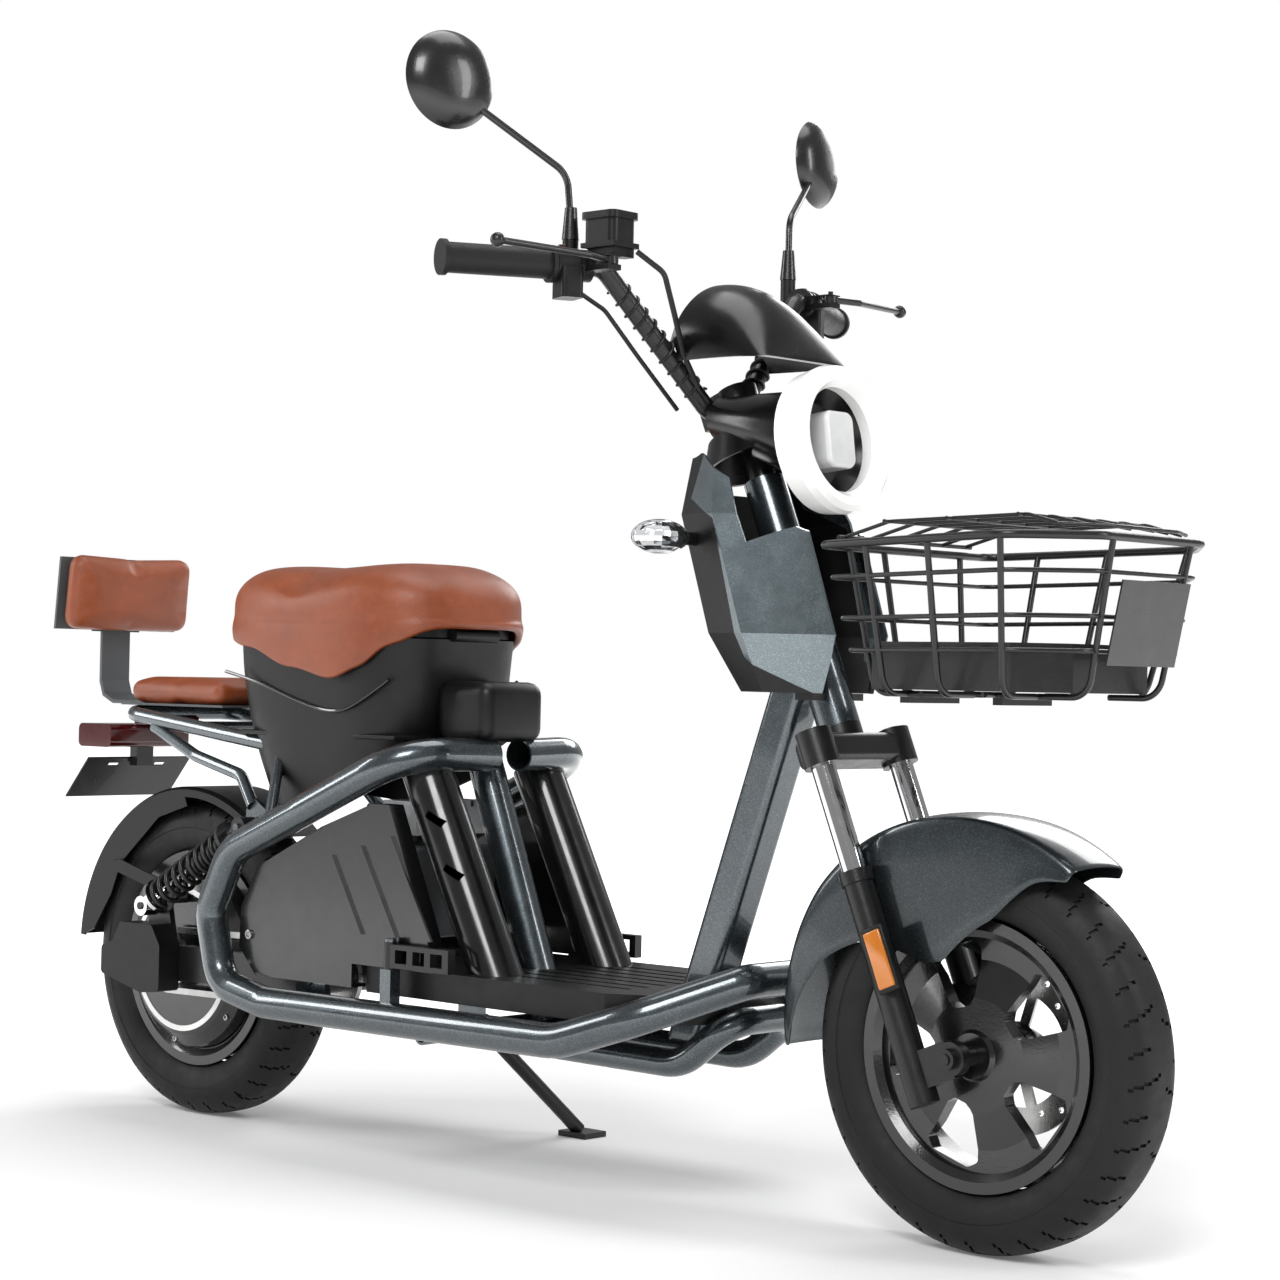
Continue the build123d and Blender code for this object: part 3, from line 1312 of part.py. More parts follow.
def seat_pan():
    """Moulded pan under the seat cushion, with a skirt and hinge knuckle."""
    x0 = seat_rear_x + 2
    x1 = seat_front_x
    w = seat_half_width - 4
    outer = extrude(Pos((x0 + x1) / 2, 0, seat_base_z - 13.5) * RectangleRounded(x1 - x0, 2 * w, 60), 23.5)
    inner = extrude(Pos((x0 + x1) / 2, 0, seat_base_z - 20) * RectangleRounded(x1 - x0 - 6, 2 * w - 6, 57), 26)
    pan = outer - inner
    pan -= block(seat_hinge_x - 18, seat_front_x + 5, -w, w, seat_base_z - 20, seat_base_z + 2)
    knuckle = rod((seat_hinge_x, -38, seat_hinge_z), (seat_hinge_x, 38, seat_hinge_z), 8)
    web = block(seat_hinge_x - 6, seat_hinge_x + 6, -38, 38, seat_hinge_z, seat_base_z + 8)
    pan = pan + knuckle + web
    bore = hinge_pin_radius + slide_clearance
    return pan - rod((seat_hinge_x, -80, seat_hinge_z), (seat_hinge_x, 80, seat_hinge_z), bore)


def seat_cushion():
    """Rider's cushion: a plain rounded block that the leather cover fills."""
    x0 = seat_rear_x
    x1 = seat_front_x
    z0 = seat_base_z + 10
    body = extrude(Pos((x0 + x1) / 2, 0, z0) * RectangleRounded(x1 - x0, 2 * seat_half_width, 70), seat_top_z - z0)
    return fillet(body.edges().group_by(Axis.Z)[-1], 24)


def side_stand():
    """Prop stand: pivot eye, leg and foot plate."""
    x, y, z = stand_pivot
    foot = (stand_foot_x, stand_foot_y, 0)
    leg = rod(stand_pivot, (foot[0], foot[1] - 6, 8), stand_leg_radius)
    plate = block(foot[0] - 22, foot[0] + 26, foot[1] - 22, foot[1] + 18, 0, 7)
    eye = rod((x, y - 8, z), (x, y + 8, z), 14)
    stand = leg + plate + eye
    stand -= block(x - 200, x + 200, y - 60, y + 300, -40, 0)
    return stand - rod((x, y - 40, z), (x, y + 40, z), 5 + slide_clearance)


def stand_bracket():
    """Lug on the frame that carries the stand's pivot bolt."""
    x, y, z = stand_pivot
    bolt = rod((x, y - 24, z), (x, y + 12, z), 5)
    lug = block(x - 18, x + 18, y - 24, y - 10, z - 16, z + 36)
    arm = block(x - 10, x + 10, y - 24, rail_half_y - frame_tube_radius + 3, z + 24, z + 36)
    return lug + bolt + arm - rail_solid


peg_pivot = (520.0, 163.0, 262.0)
peg_pin_radius = 4.0


def peg_bracket():
    """Left-hand lug on the rail, with the peg's upright pin."""
    x, y, z = peg_pivot
    lug = block(x - 9, x + 9, y - 8, y + 8, rail_half_y + 10, z - 16.2)
    pin = rod((x, y, z - 20), (x, y, z + 20), peg_pin_radius)
    head = rod((x, y, z + 16.3), (x, y, z + 20), 7)
    return lug + pin + head - rail_solid


def footpeg():
    """Left-hand passenger peg, folded up along the cover: frame, tread and hinge barrel."""
    x, y, z = peg_pivot
    frame = block(x, x + 104, y - 6, y + 6, z - 14, z + 14)
    for i in range(3):
        frame -= block(x + 14 + 30 * i, x + 34 + 30 * i, y - 10, y + 10, z - 8, z + 8)
    barrel = rod((x, y, z - 16), (x, y, z + 16), 8)
    return frame + barrel - rod((x, y, z - 30), (x, y, z + 30), peg_pin_radius + slide_clearance)


nodes["seat_pan"] = seat_pan()
nodes["seat_cushion"] = seat_cushion()
nodes["side_stand"] = side_stand()
nodes["centre_frame"] = centre_frame()
nodes["left_footpeg"] = footpeg()
nodes["right_footpeg"] = mirror(footpeg(), about=Plane.XZ)

# ---- write the row ------------------------------------------------------------------

whole = Compound([s for shape in nodes.values() for s in shape.solids()]).bounding_box()
row_shift = -(whole.min.X + whole.max.X) / 2
for name, shape in nodes.items():
    export_step(Pos(row_shift, 0, 0) * shape, f"parts/{name}.step")
print(f"{len(nodes)} nodes, row shift {row_shift:.3f}, box {whole.min} to {whole.max}")
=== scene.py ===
from math import atan2, cos, pi, radians, sin

import bpy
from mathutils import Matrix, Vector


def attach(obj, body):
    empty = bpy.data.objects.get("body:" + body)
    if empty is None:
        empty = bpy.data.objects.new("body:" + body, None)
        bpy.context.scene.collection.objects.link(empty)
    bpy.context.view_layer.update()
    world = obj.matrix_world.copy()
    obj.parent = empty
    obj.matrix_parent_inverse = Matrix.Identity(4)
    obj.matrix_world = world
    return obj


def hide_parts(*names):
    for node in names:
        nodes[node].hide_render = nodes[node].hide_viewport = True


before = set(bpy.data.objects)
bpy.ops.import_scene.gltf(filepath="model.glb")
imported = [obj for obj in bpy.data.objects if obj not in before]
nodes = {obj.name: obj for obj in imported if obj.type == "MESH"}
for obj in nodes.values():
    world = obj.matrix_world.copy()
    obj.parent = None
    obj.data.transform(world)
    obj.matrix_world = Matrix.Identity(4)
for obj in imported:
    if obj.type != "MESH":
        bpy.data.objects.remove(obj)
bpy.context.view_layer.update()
scene = bpy.context.scene
shift = -0.62425  # the row's origin is this far from the rear axle, along X
sides = ((-1, "right"), (1, "left"))
print("frame loaded", len(nodes), "nodes")


# ---- small helpers used by every piece

def spot(x, y, z):  # a point given from the rear axle in millimetres, in the row's metres
    return Vector((x / 1000 + shift, y / 1000, z / 1000))


def letGo():
    if bpy.context.mode != "OBJECT":
        bpy.ops.object.mode_set(mode="OBJECT")
    bpy.ops.object.select_all(action="DESELECT")


def pick(piece):
    letGo()
    piece.select_set(True)
    bpy.context.view_layer.objects.active = piece


def named(name):
    piece = bpy.context.active_object
    piece.name = name
    piece.data.name = name
    return piece


def settle(piece):  # puts the place, turn and size into the mesh
    pick(piece)
    bpy.ops.object.transform_apply(location=True, rotation=True, scale=True)


def useModifier(piece, kind, **values):
    pick(piece)
    made = piece.modifiers.new(kind.lower(), kind)
    for key, value in values.items():
        setattr(made, key, value)
    bpy.ops.object.modifier_apply(modifier=made.name)


def chooseFaces(piece, test):
    pick(piece)
    bpy.ops.object.mode_set(mode="EDIT")
    bpy.ops.mesh.select_mode(type="FACE")
    bpy.ops.mesh.select_all(action="DESELECT")
    bpy.ops.object.mode_set(mode="OBJECT")
    for face in piece.data.polygons:
        face.select = bool(test(face))
    bpy.ops.object.mode_set(mode="EDIT")


def smooth(piece, angle=35):
    pick(piece)
    bpy.ops.object.shade_smooth_by_angle(angle=radians(angle))


def finishPiece(piece, material, body, angle=35):
    settle(piece)
    smooth(piece, angle)
    piece.data.materials.clear()
    piece.data.materials.append(material)
    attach(piece, body)
    return piece


def addRod(name, start, end, radius, sides=24, edge=0.0):
    letGo()
    along = end - start
    bpy.ops.mesh.primitive_cylinder_add(vertices=sides, radius=radius, depth=along.length, location=(start + end) / 2,
                                        rotation=along.to_track_quat("Z", "Y").to_euler())
    piece = named(name)
    if edge:
        useModifier(piece, "BEVEL", width=edge, segments=2, limit_method="ANGLE")
    settle(piece)
    return piece


def addBlock(name, centre, size, edge=0.0, turn=(0, 0, 0), segments=3):
    letGo()
    bpy.ops.mesh.primitive_cube_add(size=1, location=centre, rotation=turn, scale=size)
    piece = named(name)
    bpy.ops.object.transform_apply(location=False, rotation=False, scale=True)
    if edge:
        useModifier(piece, "BEVEL", width=edge, segments=segments, limit_method="NONE")
    settle(piece)
    return piece


def addPipe(name, points, radius, sides=10, closed=False):
    letGo()
    line = bpy.data.curves.new(name, "CURVE")
    line.dimensions = "3D"
    line.bevel_depth = radius
    line.bevel_resolution = max(1, sides // 4)
    line.resolution_u = 6
    line.use_fill_caps = True
    spline = line.splines.new("NURBS")
    spline.points.add(len(points) - 1)
    for point, place in zip(spline.points, points):
        point.co = (*place, 1)
    spline.order_u = 3
    spline.use_endpoint_u = not closed
    spline.use_cyclic_u = closed
    piece = bpy.data.objects.new(name, line)
    scene.collection.objects.link(piece)
    pick(piece)
    bpy.ops.object.convert(target="MESH")
    return named(name)


def joinAll(name, pieces):
    letGo()
    for piece in pieces:
        piece.select_set(True)
    bpy.context.view_layer.objects.active = pieces[0]
    if len(pieces) > 1:
        bpy.ops.object.join()
    return named(name)


def fromTable(points, at):  # a value read off a short list of points
    for (a0, v0), (a1, v1) in zip(points, points[1:]):
        if at <= a1:
            share = max(0.0, min(1.0, (at - a0) / (a1 - a0)))
            return v0 + (v1 - v0) * share
    return points[-1][1]


def tidyNormals(piece, threshold=0.0):  # merges doubles if asked, and turns every face outwards
    pick(piece)
    bpy.ops.object.mode_set(mode="EDIT")
    bpy.ops.mesh.select_all(action="SELECT")
    if threshold:
        bpy.ops.mesh.remove_doubles(threshold=threshold)
        bpy.ops.mesh.select_all(action="SELECT")
    bpy.ops.mesh.normals_make_consistent(inside=False)
    bpy.ops.object.mode_set(mode="OBJECT")


def sheetFrom(name, across, rows, place):  # a grid wrapped round by a formula of two shares
    letGo()
    bpy.ops.mesh.primitive_grid_add(x_subdivisions=across, y_subdivisions=rows, size=1)
    piece = named(name)
    for vertex in piece.data.vertices:
        vertex.co = place(vertex.co.x + 0.5, vertex.co.y + 0.5)
    tidyNormals(piece, 0.00002)
    return piece


# ---- effects that several finishes share

def newEffect(name, inputs, outputs):
    group = bpy.data.node_groups.new(name, "ShaderNodeTree")
    for label, value in inputs:
        kind = "NodeSocketColor" if isinstance(value, tuple) else "NodeSocketFloat"
        group.interface.new_socket(label, in_out="INPUT", socket_type=kind).default_value = value
    for label, kind in outputs:
        group.interface.new_socket(label, in_out="OUTPUT", socket_type=kind)
    start = group.nodes.new("NodeGroupInput")
    end = group.nodes.new("NodeGroupOutput")
    return group, start, end


def mathNode(tree, kind, a, b=None, c=None):
    node = tree.nodes.new("ShaderNodeMath")
    node.operation = kind
    for index, value in enumerate((a, b, c)):
        if value is None:
            continue
        if isinstance(value, (int, float)):
            node.inputs[index].default_value = value
        else:
            tree.links.new(value, node.inputs[index])
    return node.outputs[0]


def noiseNode(tree, place, scale, detail=5.0, rough=0.55):
    node = tree.nodes.new("ShaderNodeTexNoise")
    node.inputs["Detail"].default_value = detail
    node.inputs["Roughness"].default_value = rough
    tree.links.new(place, node.inputs["Vector"])
    if isinstance(scale, (int, float)):
        node.inputs["Scale"].default_value = scale
    else:
        tree.links.new(scale, node.inputs["Scale"])
    return node.outputs["Fac"]


def rangeNode(tree, value, low, high, toLow=0.0, toHigh=1.0):
    node = tree.nodes.new("ShaderNodeMapRange")
    tree.links.new(value, node.inputs["Value"])
    for label, number in (("From Min", low), ("From Max", high), ("To Min", toLow), ("To Max", toHigh)):
        if isinstance(number, (int, float)):
            node.inputs[label].default_value = number
        else:
            tree.links.new(number, node.inputs[label])
    return node.outputs["Result"]


def mixColour(tree, factor, a, b):
    node = tree.nodes.new("ShaderNodeMix")
    node.data_type = "RGBA"
    tree.links.new(factor, node.inputs["Factor"])
    for socket, value in ((node.inputs[6], a), (node.inputs[7], b)):
        if isinstance(value, tuple):
            socket.default_value = value
        else:
            tree.links.new(value, socket)
    return node.outputs[2]


def objectPlace(tree):
    return tree.nodes.new("ShaderNodeTexCoord").outputs["Object"]


def makeMottle():  # slow change of tone and gloss over a surface
    group, start, end = newEffect("mottle", [("Scale", 6.0), ("Base", (0.5, 0.5, 0.5, 1)), ("Deep", (0.4, 0.4, 0.4, 1)),
                                             ("GlossLow", 0.3), ("GlossHigh", 0.4)],
                                  [("Colour", "NodeSocketColor"), ("Rough", "NodeSocketFloat")])
    place = objectPlace(group)
    slow = noiseNode(group, place, start.outputs["Scale"], 4)
    fastScale = mathNode(group, "MULTIPLY", start.outputs["Scale"], 7.0)
    fast = noiseNode(group, place, fastScale, 6)
    both = mathNode(group, "ADD", mathNode(group, "MULTIPLY", slow, 0.65), mathNode(group, "MULTIPLY", fast, 0.35))
    tone = rangeNode(group, both, 0.36, 0.64)
    colour = mixColour(group, tone, start.outputs["Deep"], start.outputs["Base"])
    gloss = rangeNode(group, fast, 0.3, 0.7, start.outputs["GlossLow"], start.outputs["GlossHigh"])
    group.links.new(colour, end.inputs["Colour"])
    group.links.new(gloss, end.inputs["Rough"])
    return group


def makeGrain():  # fine moulded grain
    group, start, end = newEffect("mouldGrain", [("Scale", 900.0)], [("Height", "NodeSocketFloat")])
    place = objectPlace(group)
    cells = group.nodes.new("ShaderNodeTexVoronoi")
    group.links.new(place, cells.inputs["Vector"])
    group.links.new(start.outputs["Scale"], cells.inputs["Scale"])
    fine = noiseNode(group, place, mathNode(group, "MULTIPLY", start.outputs["Scale"], 0.6), 3)
    height = mathNode(group, "ADD", mathNode(group, "MULTIPLY", cells.outputs["Distance"], 0.5), fine)
    group.links.new(height, end.inputs["Height"])
    return group


def makeHide():  # leather pebbles with creases between them, and a mask that paints shade into the creases
    group, start, end = newEffect("hide", [("Scale", 420.0)], [("Height", "NodeSocketFloat"),
                                                               ("CreaseShade", "NodeSocketFloat")])
    place = objectPlace(group)
    warp = group.nodes.new("ShaderNodeTexNoise")
    warp.inputs["Scale"].default_value = 60.0
    group.links.new(place, warp.inputs["Vector"])
    push = group.nodes.new("ShaderNodeVectorMath")
    push.operation = "MULTIPLY_ADD"
    group.links.new(warp.outputs["Color"], push.inputs[0])
    push.inputs[1].default_value = (0.004, 0.004, 0.004)
    group.links.new(place, push.inputs[2])
    cells = group.nodes.new("ShaderNodeTexVoronoi")
    cells.feature = "DISTANCE_TO_EDGE"
    group.links.new(push.outputs[0], cells.inputs["Vector"])
    group.links.new(start.outputs["Scale"], cells.inputs["Scale"])
    pebble = rangeNode(group, cells.outputs["Distance"], 0.0, 0.28)
    slow = noiseNode(group, place, 26.0, 5)
    height = mathNode(group, "ADD", mathNode(group, "MULTIPLY", pebble, 0.6), mathNode(group, "MULTIPLY", slow, 1.6))
    # painted shade: this mask is strongest in the creases between the pebbles and darkens them
    crease = rangeNode(group, cells.outputs["Distance"], 0.0, 0.09, 1.0, 0.0)
    group.links.new(height, end.inputs["Height"])
    group.links.new(crease, end.inputs["CreaseShade"])
    return group


def makeFlakes():  # sparkle of metallic paint
    group, start, end = newEffect("flakes", [("Scale", 1600.0)], [("Mask", "NodeSocketFloat")])
    place = objectPlace(group)
    cells = group.nodes.new("ShaderNodeTexVoronoi")
    group.links.new(place, cells.inputs["Vector"])
    group.links.new(start.outputs["Scale"], cells.inputs["Scale"])
    split = group.nodes.new("ShaderNodeSeparateColor")
    group.links.new(cells.outputs["Color"], split.inputs[0])
    group.links.new(rangeNode(group, split.outputs[0], 0.72, 1.0), end.inputs["Mask"])
    return group


def makeTurned():  # fine rings left by a lathe or a brush, across one direction
    group, start, end = newEffect("turnedMarks", [("Scale", 900.0)], [("Height", "NodeSocketFloat")])
    place = objectPlace(group)
    squeeze = group.nodes.new("ShaderNodeMapping")
    squeeze.inputs["Scale"].default_value = (1.0, 1.0, 0.05)
    group.links.new(place, squeeze.inputs["Vector"])
    group.links.new(noiseNode(group, squeeze.outputs[0], start.outputs["Scale"], 3), end.inputs["Height"])
    return group


def makeDust():  # thin dust on what faces up
    group, start, end = newEffect("dust", [("Amount", 0.2)], [("Mask", "NodeSocketFloat")])
    facing = group.nodes.new("ShaderNodeNewGeometry")
    split = group.nodes.new("ShaderNodeSeparateXYZ")
    group.links.new(facing.outputs["Normal"], split.inputs[0])
    up = rangeNode(group, split.outputs["Z"], 0.2, 1.0)
    patch = rangeNode(group, noiseNode(group, objectPlace(group), 30.0, 7), 0.42, 0.72)
    both = mathNode(group, "MULTIPLY", up, patch)
    group.links.new(mathNode(group, "MULTIPLY", both, start.outputs["Amount"]), end.inputs["Mask"])
    return group


effects = {"mottle": makeMottle(), "grain": makeGrain(), "hide": makeHide(), "flakes": makeFlakes(),
           "turned": makeTurned(), "dust": makeDust()}


def useEffect(tree, name, **values):
    node = tree.nodes.new("ShaderNodeGroup")
    node.node_tree = effects[name]
    for label, value in values.items():
        node.inputs[label].default_value = value
    return node


def makeFinish(name, look):
    material = bpy.data.materials.new(name)
    material.use_nodes = True
    tree = material.node_tree
    shader = tree.nodes["Principled BSDF"]
    base = (*look["base"], 1)
    deep = (*look.get("deep", tuple(c * 0.82 for c in look["base"])), 1)
    low, high = look["gloss"]
    mottle = useEffect(tree, "mottle", Scale=look.get("mottleScale", 8.0), Base=base, Deep=deep, GlossLow=low,
                       GlossHigh=high)
    colour = mottle.outputs["Colour"]
    if "flakes" in look:
        flakes = useEffect(tree, "flakes", Scale=look["flakes"][0])
        colour = mixColour(tree, mathNode(tree, "MULTIPLY", flakes.outputs["Mask"], look["flakes"][1]), colour,
                           (*look["flakes"][2], 1))
    height = None
    if "grain" in look:
        height = useEffect(tree, "grain", Scale=look["grain"][0]).outputs["Height"]
        depth = look["grain"][1]
    if "turned" in look:
        height = useEffect(tree, "turned", Scale=look["turned"][0]).outputs["Height"]
        depth = look["turned"][1]
    if "hide" in look:
        hide = useEffect(tree, "hide", Scale=look["hide"][0])
        height = hide.outputs["Height"]
        depth = look["hide"][1]
        # painted shade: the creases of the grain are mixed towards a darker colour
        colour = mixColour(tree, mathNode(tree, "MULTIPLY", hide.outputs["CreaseShade"], 0.45), colour,
                           (*look["creaseShadeColour"], 1))
    if "dust" in look:
        dust = useEffect(tree, "dust", Amount=look["dust"])
        colour = mixColour(tree, dust.outputs["Mask"], colour, (0.30, 0.28, 0.25, 1))
    tree.links.new(colour, shader.inputs["Base Color"])
    tree.links.new(mottle.outputs["Rough"], shader.inputs["Roughness"])
    if height is not None:
        bump = tree.nodes.new("ShaderNodeBump")
        bump.inputs["Strength"].default_value = look.get("bumpStrength", 0.35)
        bump.inputs["Distance"].default_value = depth
        tree.links.new(height, bump.inputs["Height"])
        tree.links.new(bump.outputs["Normal"], shader.inputs["Normal"])
    shader.inputs["Metallic"].default_value = look.get("metallic", 0.0)
    shader.inputs["Coat Weight"].default_value = look.get("coat", 0.0)
    shader.inputs["Coat Roughness"].default_value = look.get("coatRough", 0.05)
    shader.inputs["IOR"].default_value = look.get("ior", 1.5)
    shader.inputs["Specular IOR Level"].default_value = look.get("specular", 0.5)
    # painted light: emission makes the part shine although it is no lamp
    if "paintedGlow" in look:
        shader.inputs["Emission Color"].default_value = (*look["paintedGlow"][0], 1)
        shader.inputs["Emission Strength"].default_value = look["paintedGlow"][1]
    if "clear" in look:
        shader.inputs["Transmission Weight"].default_value = look["clear"]
    return material


finishLooks = {
    "graphitePaint": {"base": (0.074, 0.088, 0.096), "deep": (0.052, 0.064, 0.071), "gloss": (0.24, 0.32),
                      "metallic": 0.85, "coat": 1.0, "coatRough": 0.05, "flakes": (1500.0, 0.35, (0.34, 0.40, 0.44)),
                      "mottleScale": 5.0},
    "satinSteel": {"base": (0.0075, 0.0075, 0.008), "gloss": (0.28, 0.40), "grain": (700.0, 0.0004),
                   "coat": 0.2, "coatRough": 0.2, "specular": 0.4},
    "brightSteel": {"base": (0.52, 0.52, 0.51), "gloss": (0.22, 0.34), "metallic": 1.0, "turned": (700.0, 0.0003)},
    "chromeFinish": {"base": (0.74, 0.74, 0.75), "deep": (0.68, 0.68, 0.70), "gloss": (0.04, 0.10), "metallic": 1.0},
    "castDark": {"base": (0.0075, 0.0075, 0.008), "gloss": (0.18, 0.28), "grain": (420.0, 0.0004), "coat": 0.6,
                 "coatRough": 0.10},
    "satinAlloy": {"base": (0.50, 0.51, 0.52), "gloss": (0.3, 0.42), "metallic": 1.0, "turned": (500.0, 0.0003)},
    "tyreRubber": {"base": (0.0075, 0.0075, 0.008), "deep": (0.005, 0.005, 0.005), "gloss": (0.50, 0.66),
                   "grain": (520.0, 0.0006), "dust": 0.05, "specular": 0.35},
    "gripRubber": {"base": (0.006, 0.006, 0.006), "gloss": (0.44, 0.56), "grain": (800.0, 0.0006), "specular": 0.35},
    "cableSkin": {"base": (0.006, 0.006, 0.0065), "gloss": (0.36, 0.5), "grain": (900.0, 0.0003), "specular": 0.4},
    "blackPlastic": {"base": (0.0042, 0.0042, 0.0045), "gloss": (0.34, 0.44), "grain": (1100.0, 0.0003),
                     "specular": 0.34},
    "smokeBlack": {"base": (0.0035, 0.0035, 0.004), "gloss": (0.20, 0.28), "specular": 0.4},
    "glossBlack": {"base": (0.004, 0.004, 0.0045), "gloss": (0.10, 0.16), "coat": 0.4, "coatRough": 0.05},
    "columnBlack": {"base": (0.0045, 0.0045, 0.005), "gloss": (0.18, 0.26), "coat": 0.4, "coatRough": 0.08},
    "greyPlastic": {"base": (0.075, 0.08, 0.085), "gloss": (0.40, 0.52), "grain": (900.0, 0.0004)},
    "fairingPaint": {"base": (0.135, 0.168, 0.182), "deep": (0.105, 0.132, 0.145), "gloss": (0.22, 0.30),
                     "metallic": 0.8, "coat": 1.0, "coatRough": 0.03, "flakes": (1500.0, 0.35, (0.50, 0.58, 0.62)),
                     "mottleScale": 4.0},
    "fenderPaint": {"base": (0.034, 0.042, 0.046), "deep": (0.025, 0.031, 0.034), "gloss": (0.28, 0.36),
                    "metallic": 0.8, "coat": 0.7, "coatRough": 0.08, "flakes": (1500.0, 0.3, (0.20, 0.24, 0.26)),
                    "mottleScale": 4.0},
    # white plastic rings; the glow is painted light, since neither the headlight ring nor the motor ring is lit
    "whiteRingPaintedGlow": {"base": (0.86, 0.86, 0.85), "deep": (0.80, 0.80, 0.79), "gloss": (0.16, 0.24), "coat": 0.4,
                 "paintedGlow": ((1.0, 0.99, 0.97), 0.18)},
    "lensPale": {"base": (0.70, 0.71, 0.70), "deep": (0.60, 0.61, 0.61), "gloss": (0.08, 0.16), "coat": 0.6},
    "redLens": {"base": (0.075, 0.003, 0.003), "deep": (0.05, 0.002, 0.002), "gloss": (0.08, 0.14), "coat": 0.6},
    "amberLens": {"base": (0.62, 0.20, 0.012), "deep": (0.50, 0.14, 0.008), "gloss": (0.10, 0.18), "coat": 0.8},
    "clearLens": {"base": (0.80, 0.81, 0.80), "deep": (0.62, 0.63, 0.62), "gloss": (0.05, 0.12), "coat": 1.0},
    "clearShell": {"base": (0.96, 0.97, 0.97), "deep": (0.93, 0.94, 0.94), "gloss": (0.02, 0.05), "clear": 1.0,
                   "ior": 1.3},
    # the leather's darker crease colour is painted shade in the grain's hollows
    "tanLeather": {"base": (0.300, 0.064, 0.014), "deep": (0.205, 0.040, 0.008), "gloss": (0.36, 0.48),
                   "hide": (520.0, 0.0007), "creaseShadeColour": (0.12, 0.026, 0.006), "mottleScale": 11.0,
                   "coat": 0.15, "coatRough": 0.3},
    "mirrorShell": {"base": (0.008, 0.008, 0.0085), "gloss": (0.22, 0.30), "grain": (1000.0, 0.0003), "coat": 0.3},
    "mirrorGlass": {"base": (0.86, 0.87, 0.88), "deep": (0.80, 0.81, 0.82), "gloss": (0.01, 0.03), "metallic": 1.0},
    "barePlate": {"base": (0.005, 0.005, 0.0053), "gloss": (0.26, 0.36), "grain": (700.0, 0.0003), "coat": 0.2},
}
finishes = {name: makeFinish(name, look) for name, look in finishLooks.items()}
print("finishes made", len(finishes))

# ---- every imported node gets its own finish

nodeFinish = {
    "front_tyre": "tyreRubber", "rear_tyre": "tyreRubber", "front_rim": "castDark", "brake_disc": "brightSteel",
    "hub_motor": "castDark", "motor_ring": "whiteRingPaintedGlow", "steering_stem": "satinSteel", "fork_stanchions": "chromeFinish",
    "fork_sliders": "satinSteel", "brake_caliper": "castDark", "front_fender": "fenderPaint",
    "handlebar": "satinSteel", "left_grip": "gripRubber", "throttle_grip": "gripRubber",
    "handlebar_controls": "blackPlastic", "left_brake_lever": "satinSteel", "right_brake_lever": "satinSteel",
    "horn_button": "redLens", "start_button": "redLens", "left_mirror": "mirrorShell", "right_mirror": "mirrorShell",
    "headlight_ring": "whiteRingPaintedGlow", "headlight_nacelle": "smokeBlack", "headlight_lens": "lensPale",
    "handlebar_cables": "cableSkin", "left_frame_rail": "graphitePaint", "right_frame_rail": "graphitePaint",
    "seat_tube": "graphitePaint", "centre_frame": "graphitePaint", "rear_rack": "graphitePaint",
    "swingarm": "satinSteel", "rear_axle": "brightSteel", "axle_covers": "blackPlastic", "chain_drive": "brightSteel",
    "rear_fender": "blackPlastic", "shock_bodies": "satinSteel", "shock_rods": "chromeFinish",
    "shock_springs": "satinSteel", "floorboard": "blackPlastic", "side_covers": "columnBlack",
    "battery_pack": "greyPlastic", "motor_controller": "satinAlloy", "seat_body": "blackPlastic",
    "rear_seat_pad": "tanLeather", "backrest_frame": "greyPlastic", "backrest_pad": "tanLeather",
    "tail_light": "redLens", "licence_plate": "barePlate", "fairing_panels": "fairingPaint",
    "fairing_core": "blackPlastic", "turn_signals": "clearLens", "basket_frame": "satinSteel",
    "basket_tray": "satinSteel", "basket_plate": "barePlate", "basket_lid": "satinSteel", "seat_pan": "blackPlastic",
    "seat_cushion": "tanLeather", "side_stand": "satinSteel", "left_footpeg": "satinSteel",
    "right_footpeg": "satinSteel",
}
for nodeName, finishName in nodeFinish.items():
    mesh = nodes[nodeName].data
    mesh.materials.clear()
    mesh.materials.append(finishes[finishName])
print("nodes finished", len(nodeFinish))


# ---- padded seats

clothLook = {"frames": 20, "quality": 4, "hemShare": 0.15, "smoothing": 4}


def puff(piece, pressure, cap, voxel, keepBelow=-10.0):  # swells a pad with cloth and caps how far it moves
    if voxel:
        useModifier(piece, "REMESH", mode="VOXEL", voxel_size=voxel)
    before = [v.co.copy() for v in piece.data.vertices]
    pick(piece)
    cloth = piece.modifiers.new("cloth", "CLOTH")
    cloth.settings.use_pressure = True
    cloth.settings.uniform_pressure_force = pressure
    cloth.settings.effector_weights.gravity = 0
    cloth.settings.quality = clothLook["quality"]
    cloth.point_cache.frame_start = 1
    cloth.point_cache.frame_end = clothLook["frames"]
    for step in range(1, clothLook["frames"] + 1):
        scene.frame_set(step)
    bpy.ops.object.modifier_apply(modifier=cloth.name)
    scene.frame_set(1)
    for vertex, start in zip(piece.data.vertices, before):
        move = vertex.co - start
        limit = cap if start.z > keepBelow else cap * clothLook["hemShare"]
        if move.length > limit:
            vertex.co = start + move.normalized() * limit
    useModifier(piece, "SMOOTH", factor=0.5, iterations=clothLook["smoothing"])
    useModifier(piece, "SUBSURF", levels=1, render_levels=1)


def addPad(look):
    centre, size = look["centre"], look["size"]
    letGo()
    bpy.ops.mesh.primitive_cube_add(size=1, location=centre, rotation=(0, look.get("lean", 0), 0), scale=size)
    piece = named(look["name"])
    bpy.ops.object.transform_apply(location=False, rotation=False, scale=True)
    useModifier(piece, "BEVEL", width=look["corner"], segments=5, limit_method="NONE")
    settle(piece)
    return piece


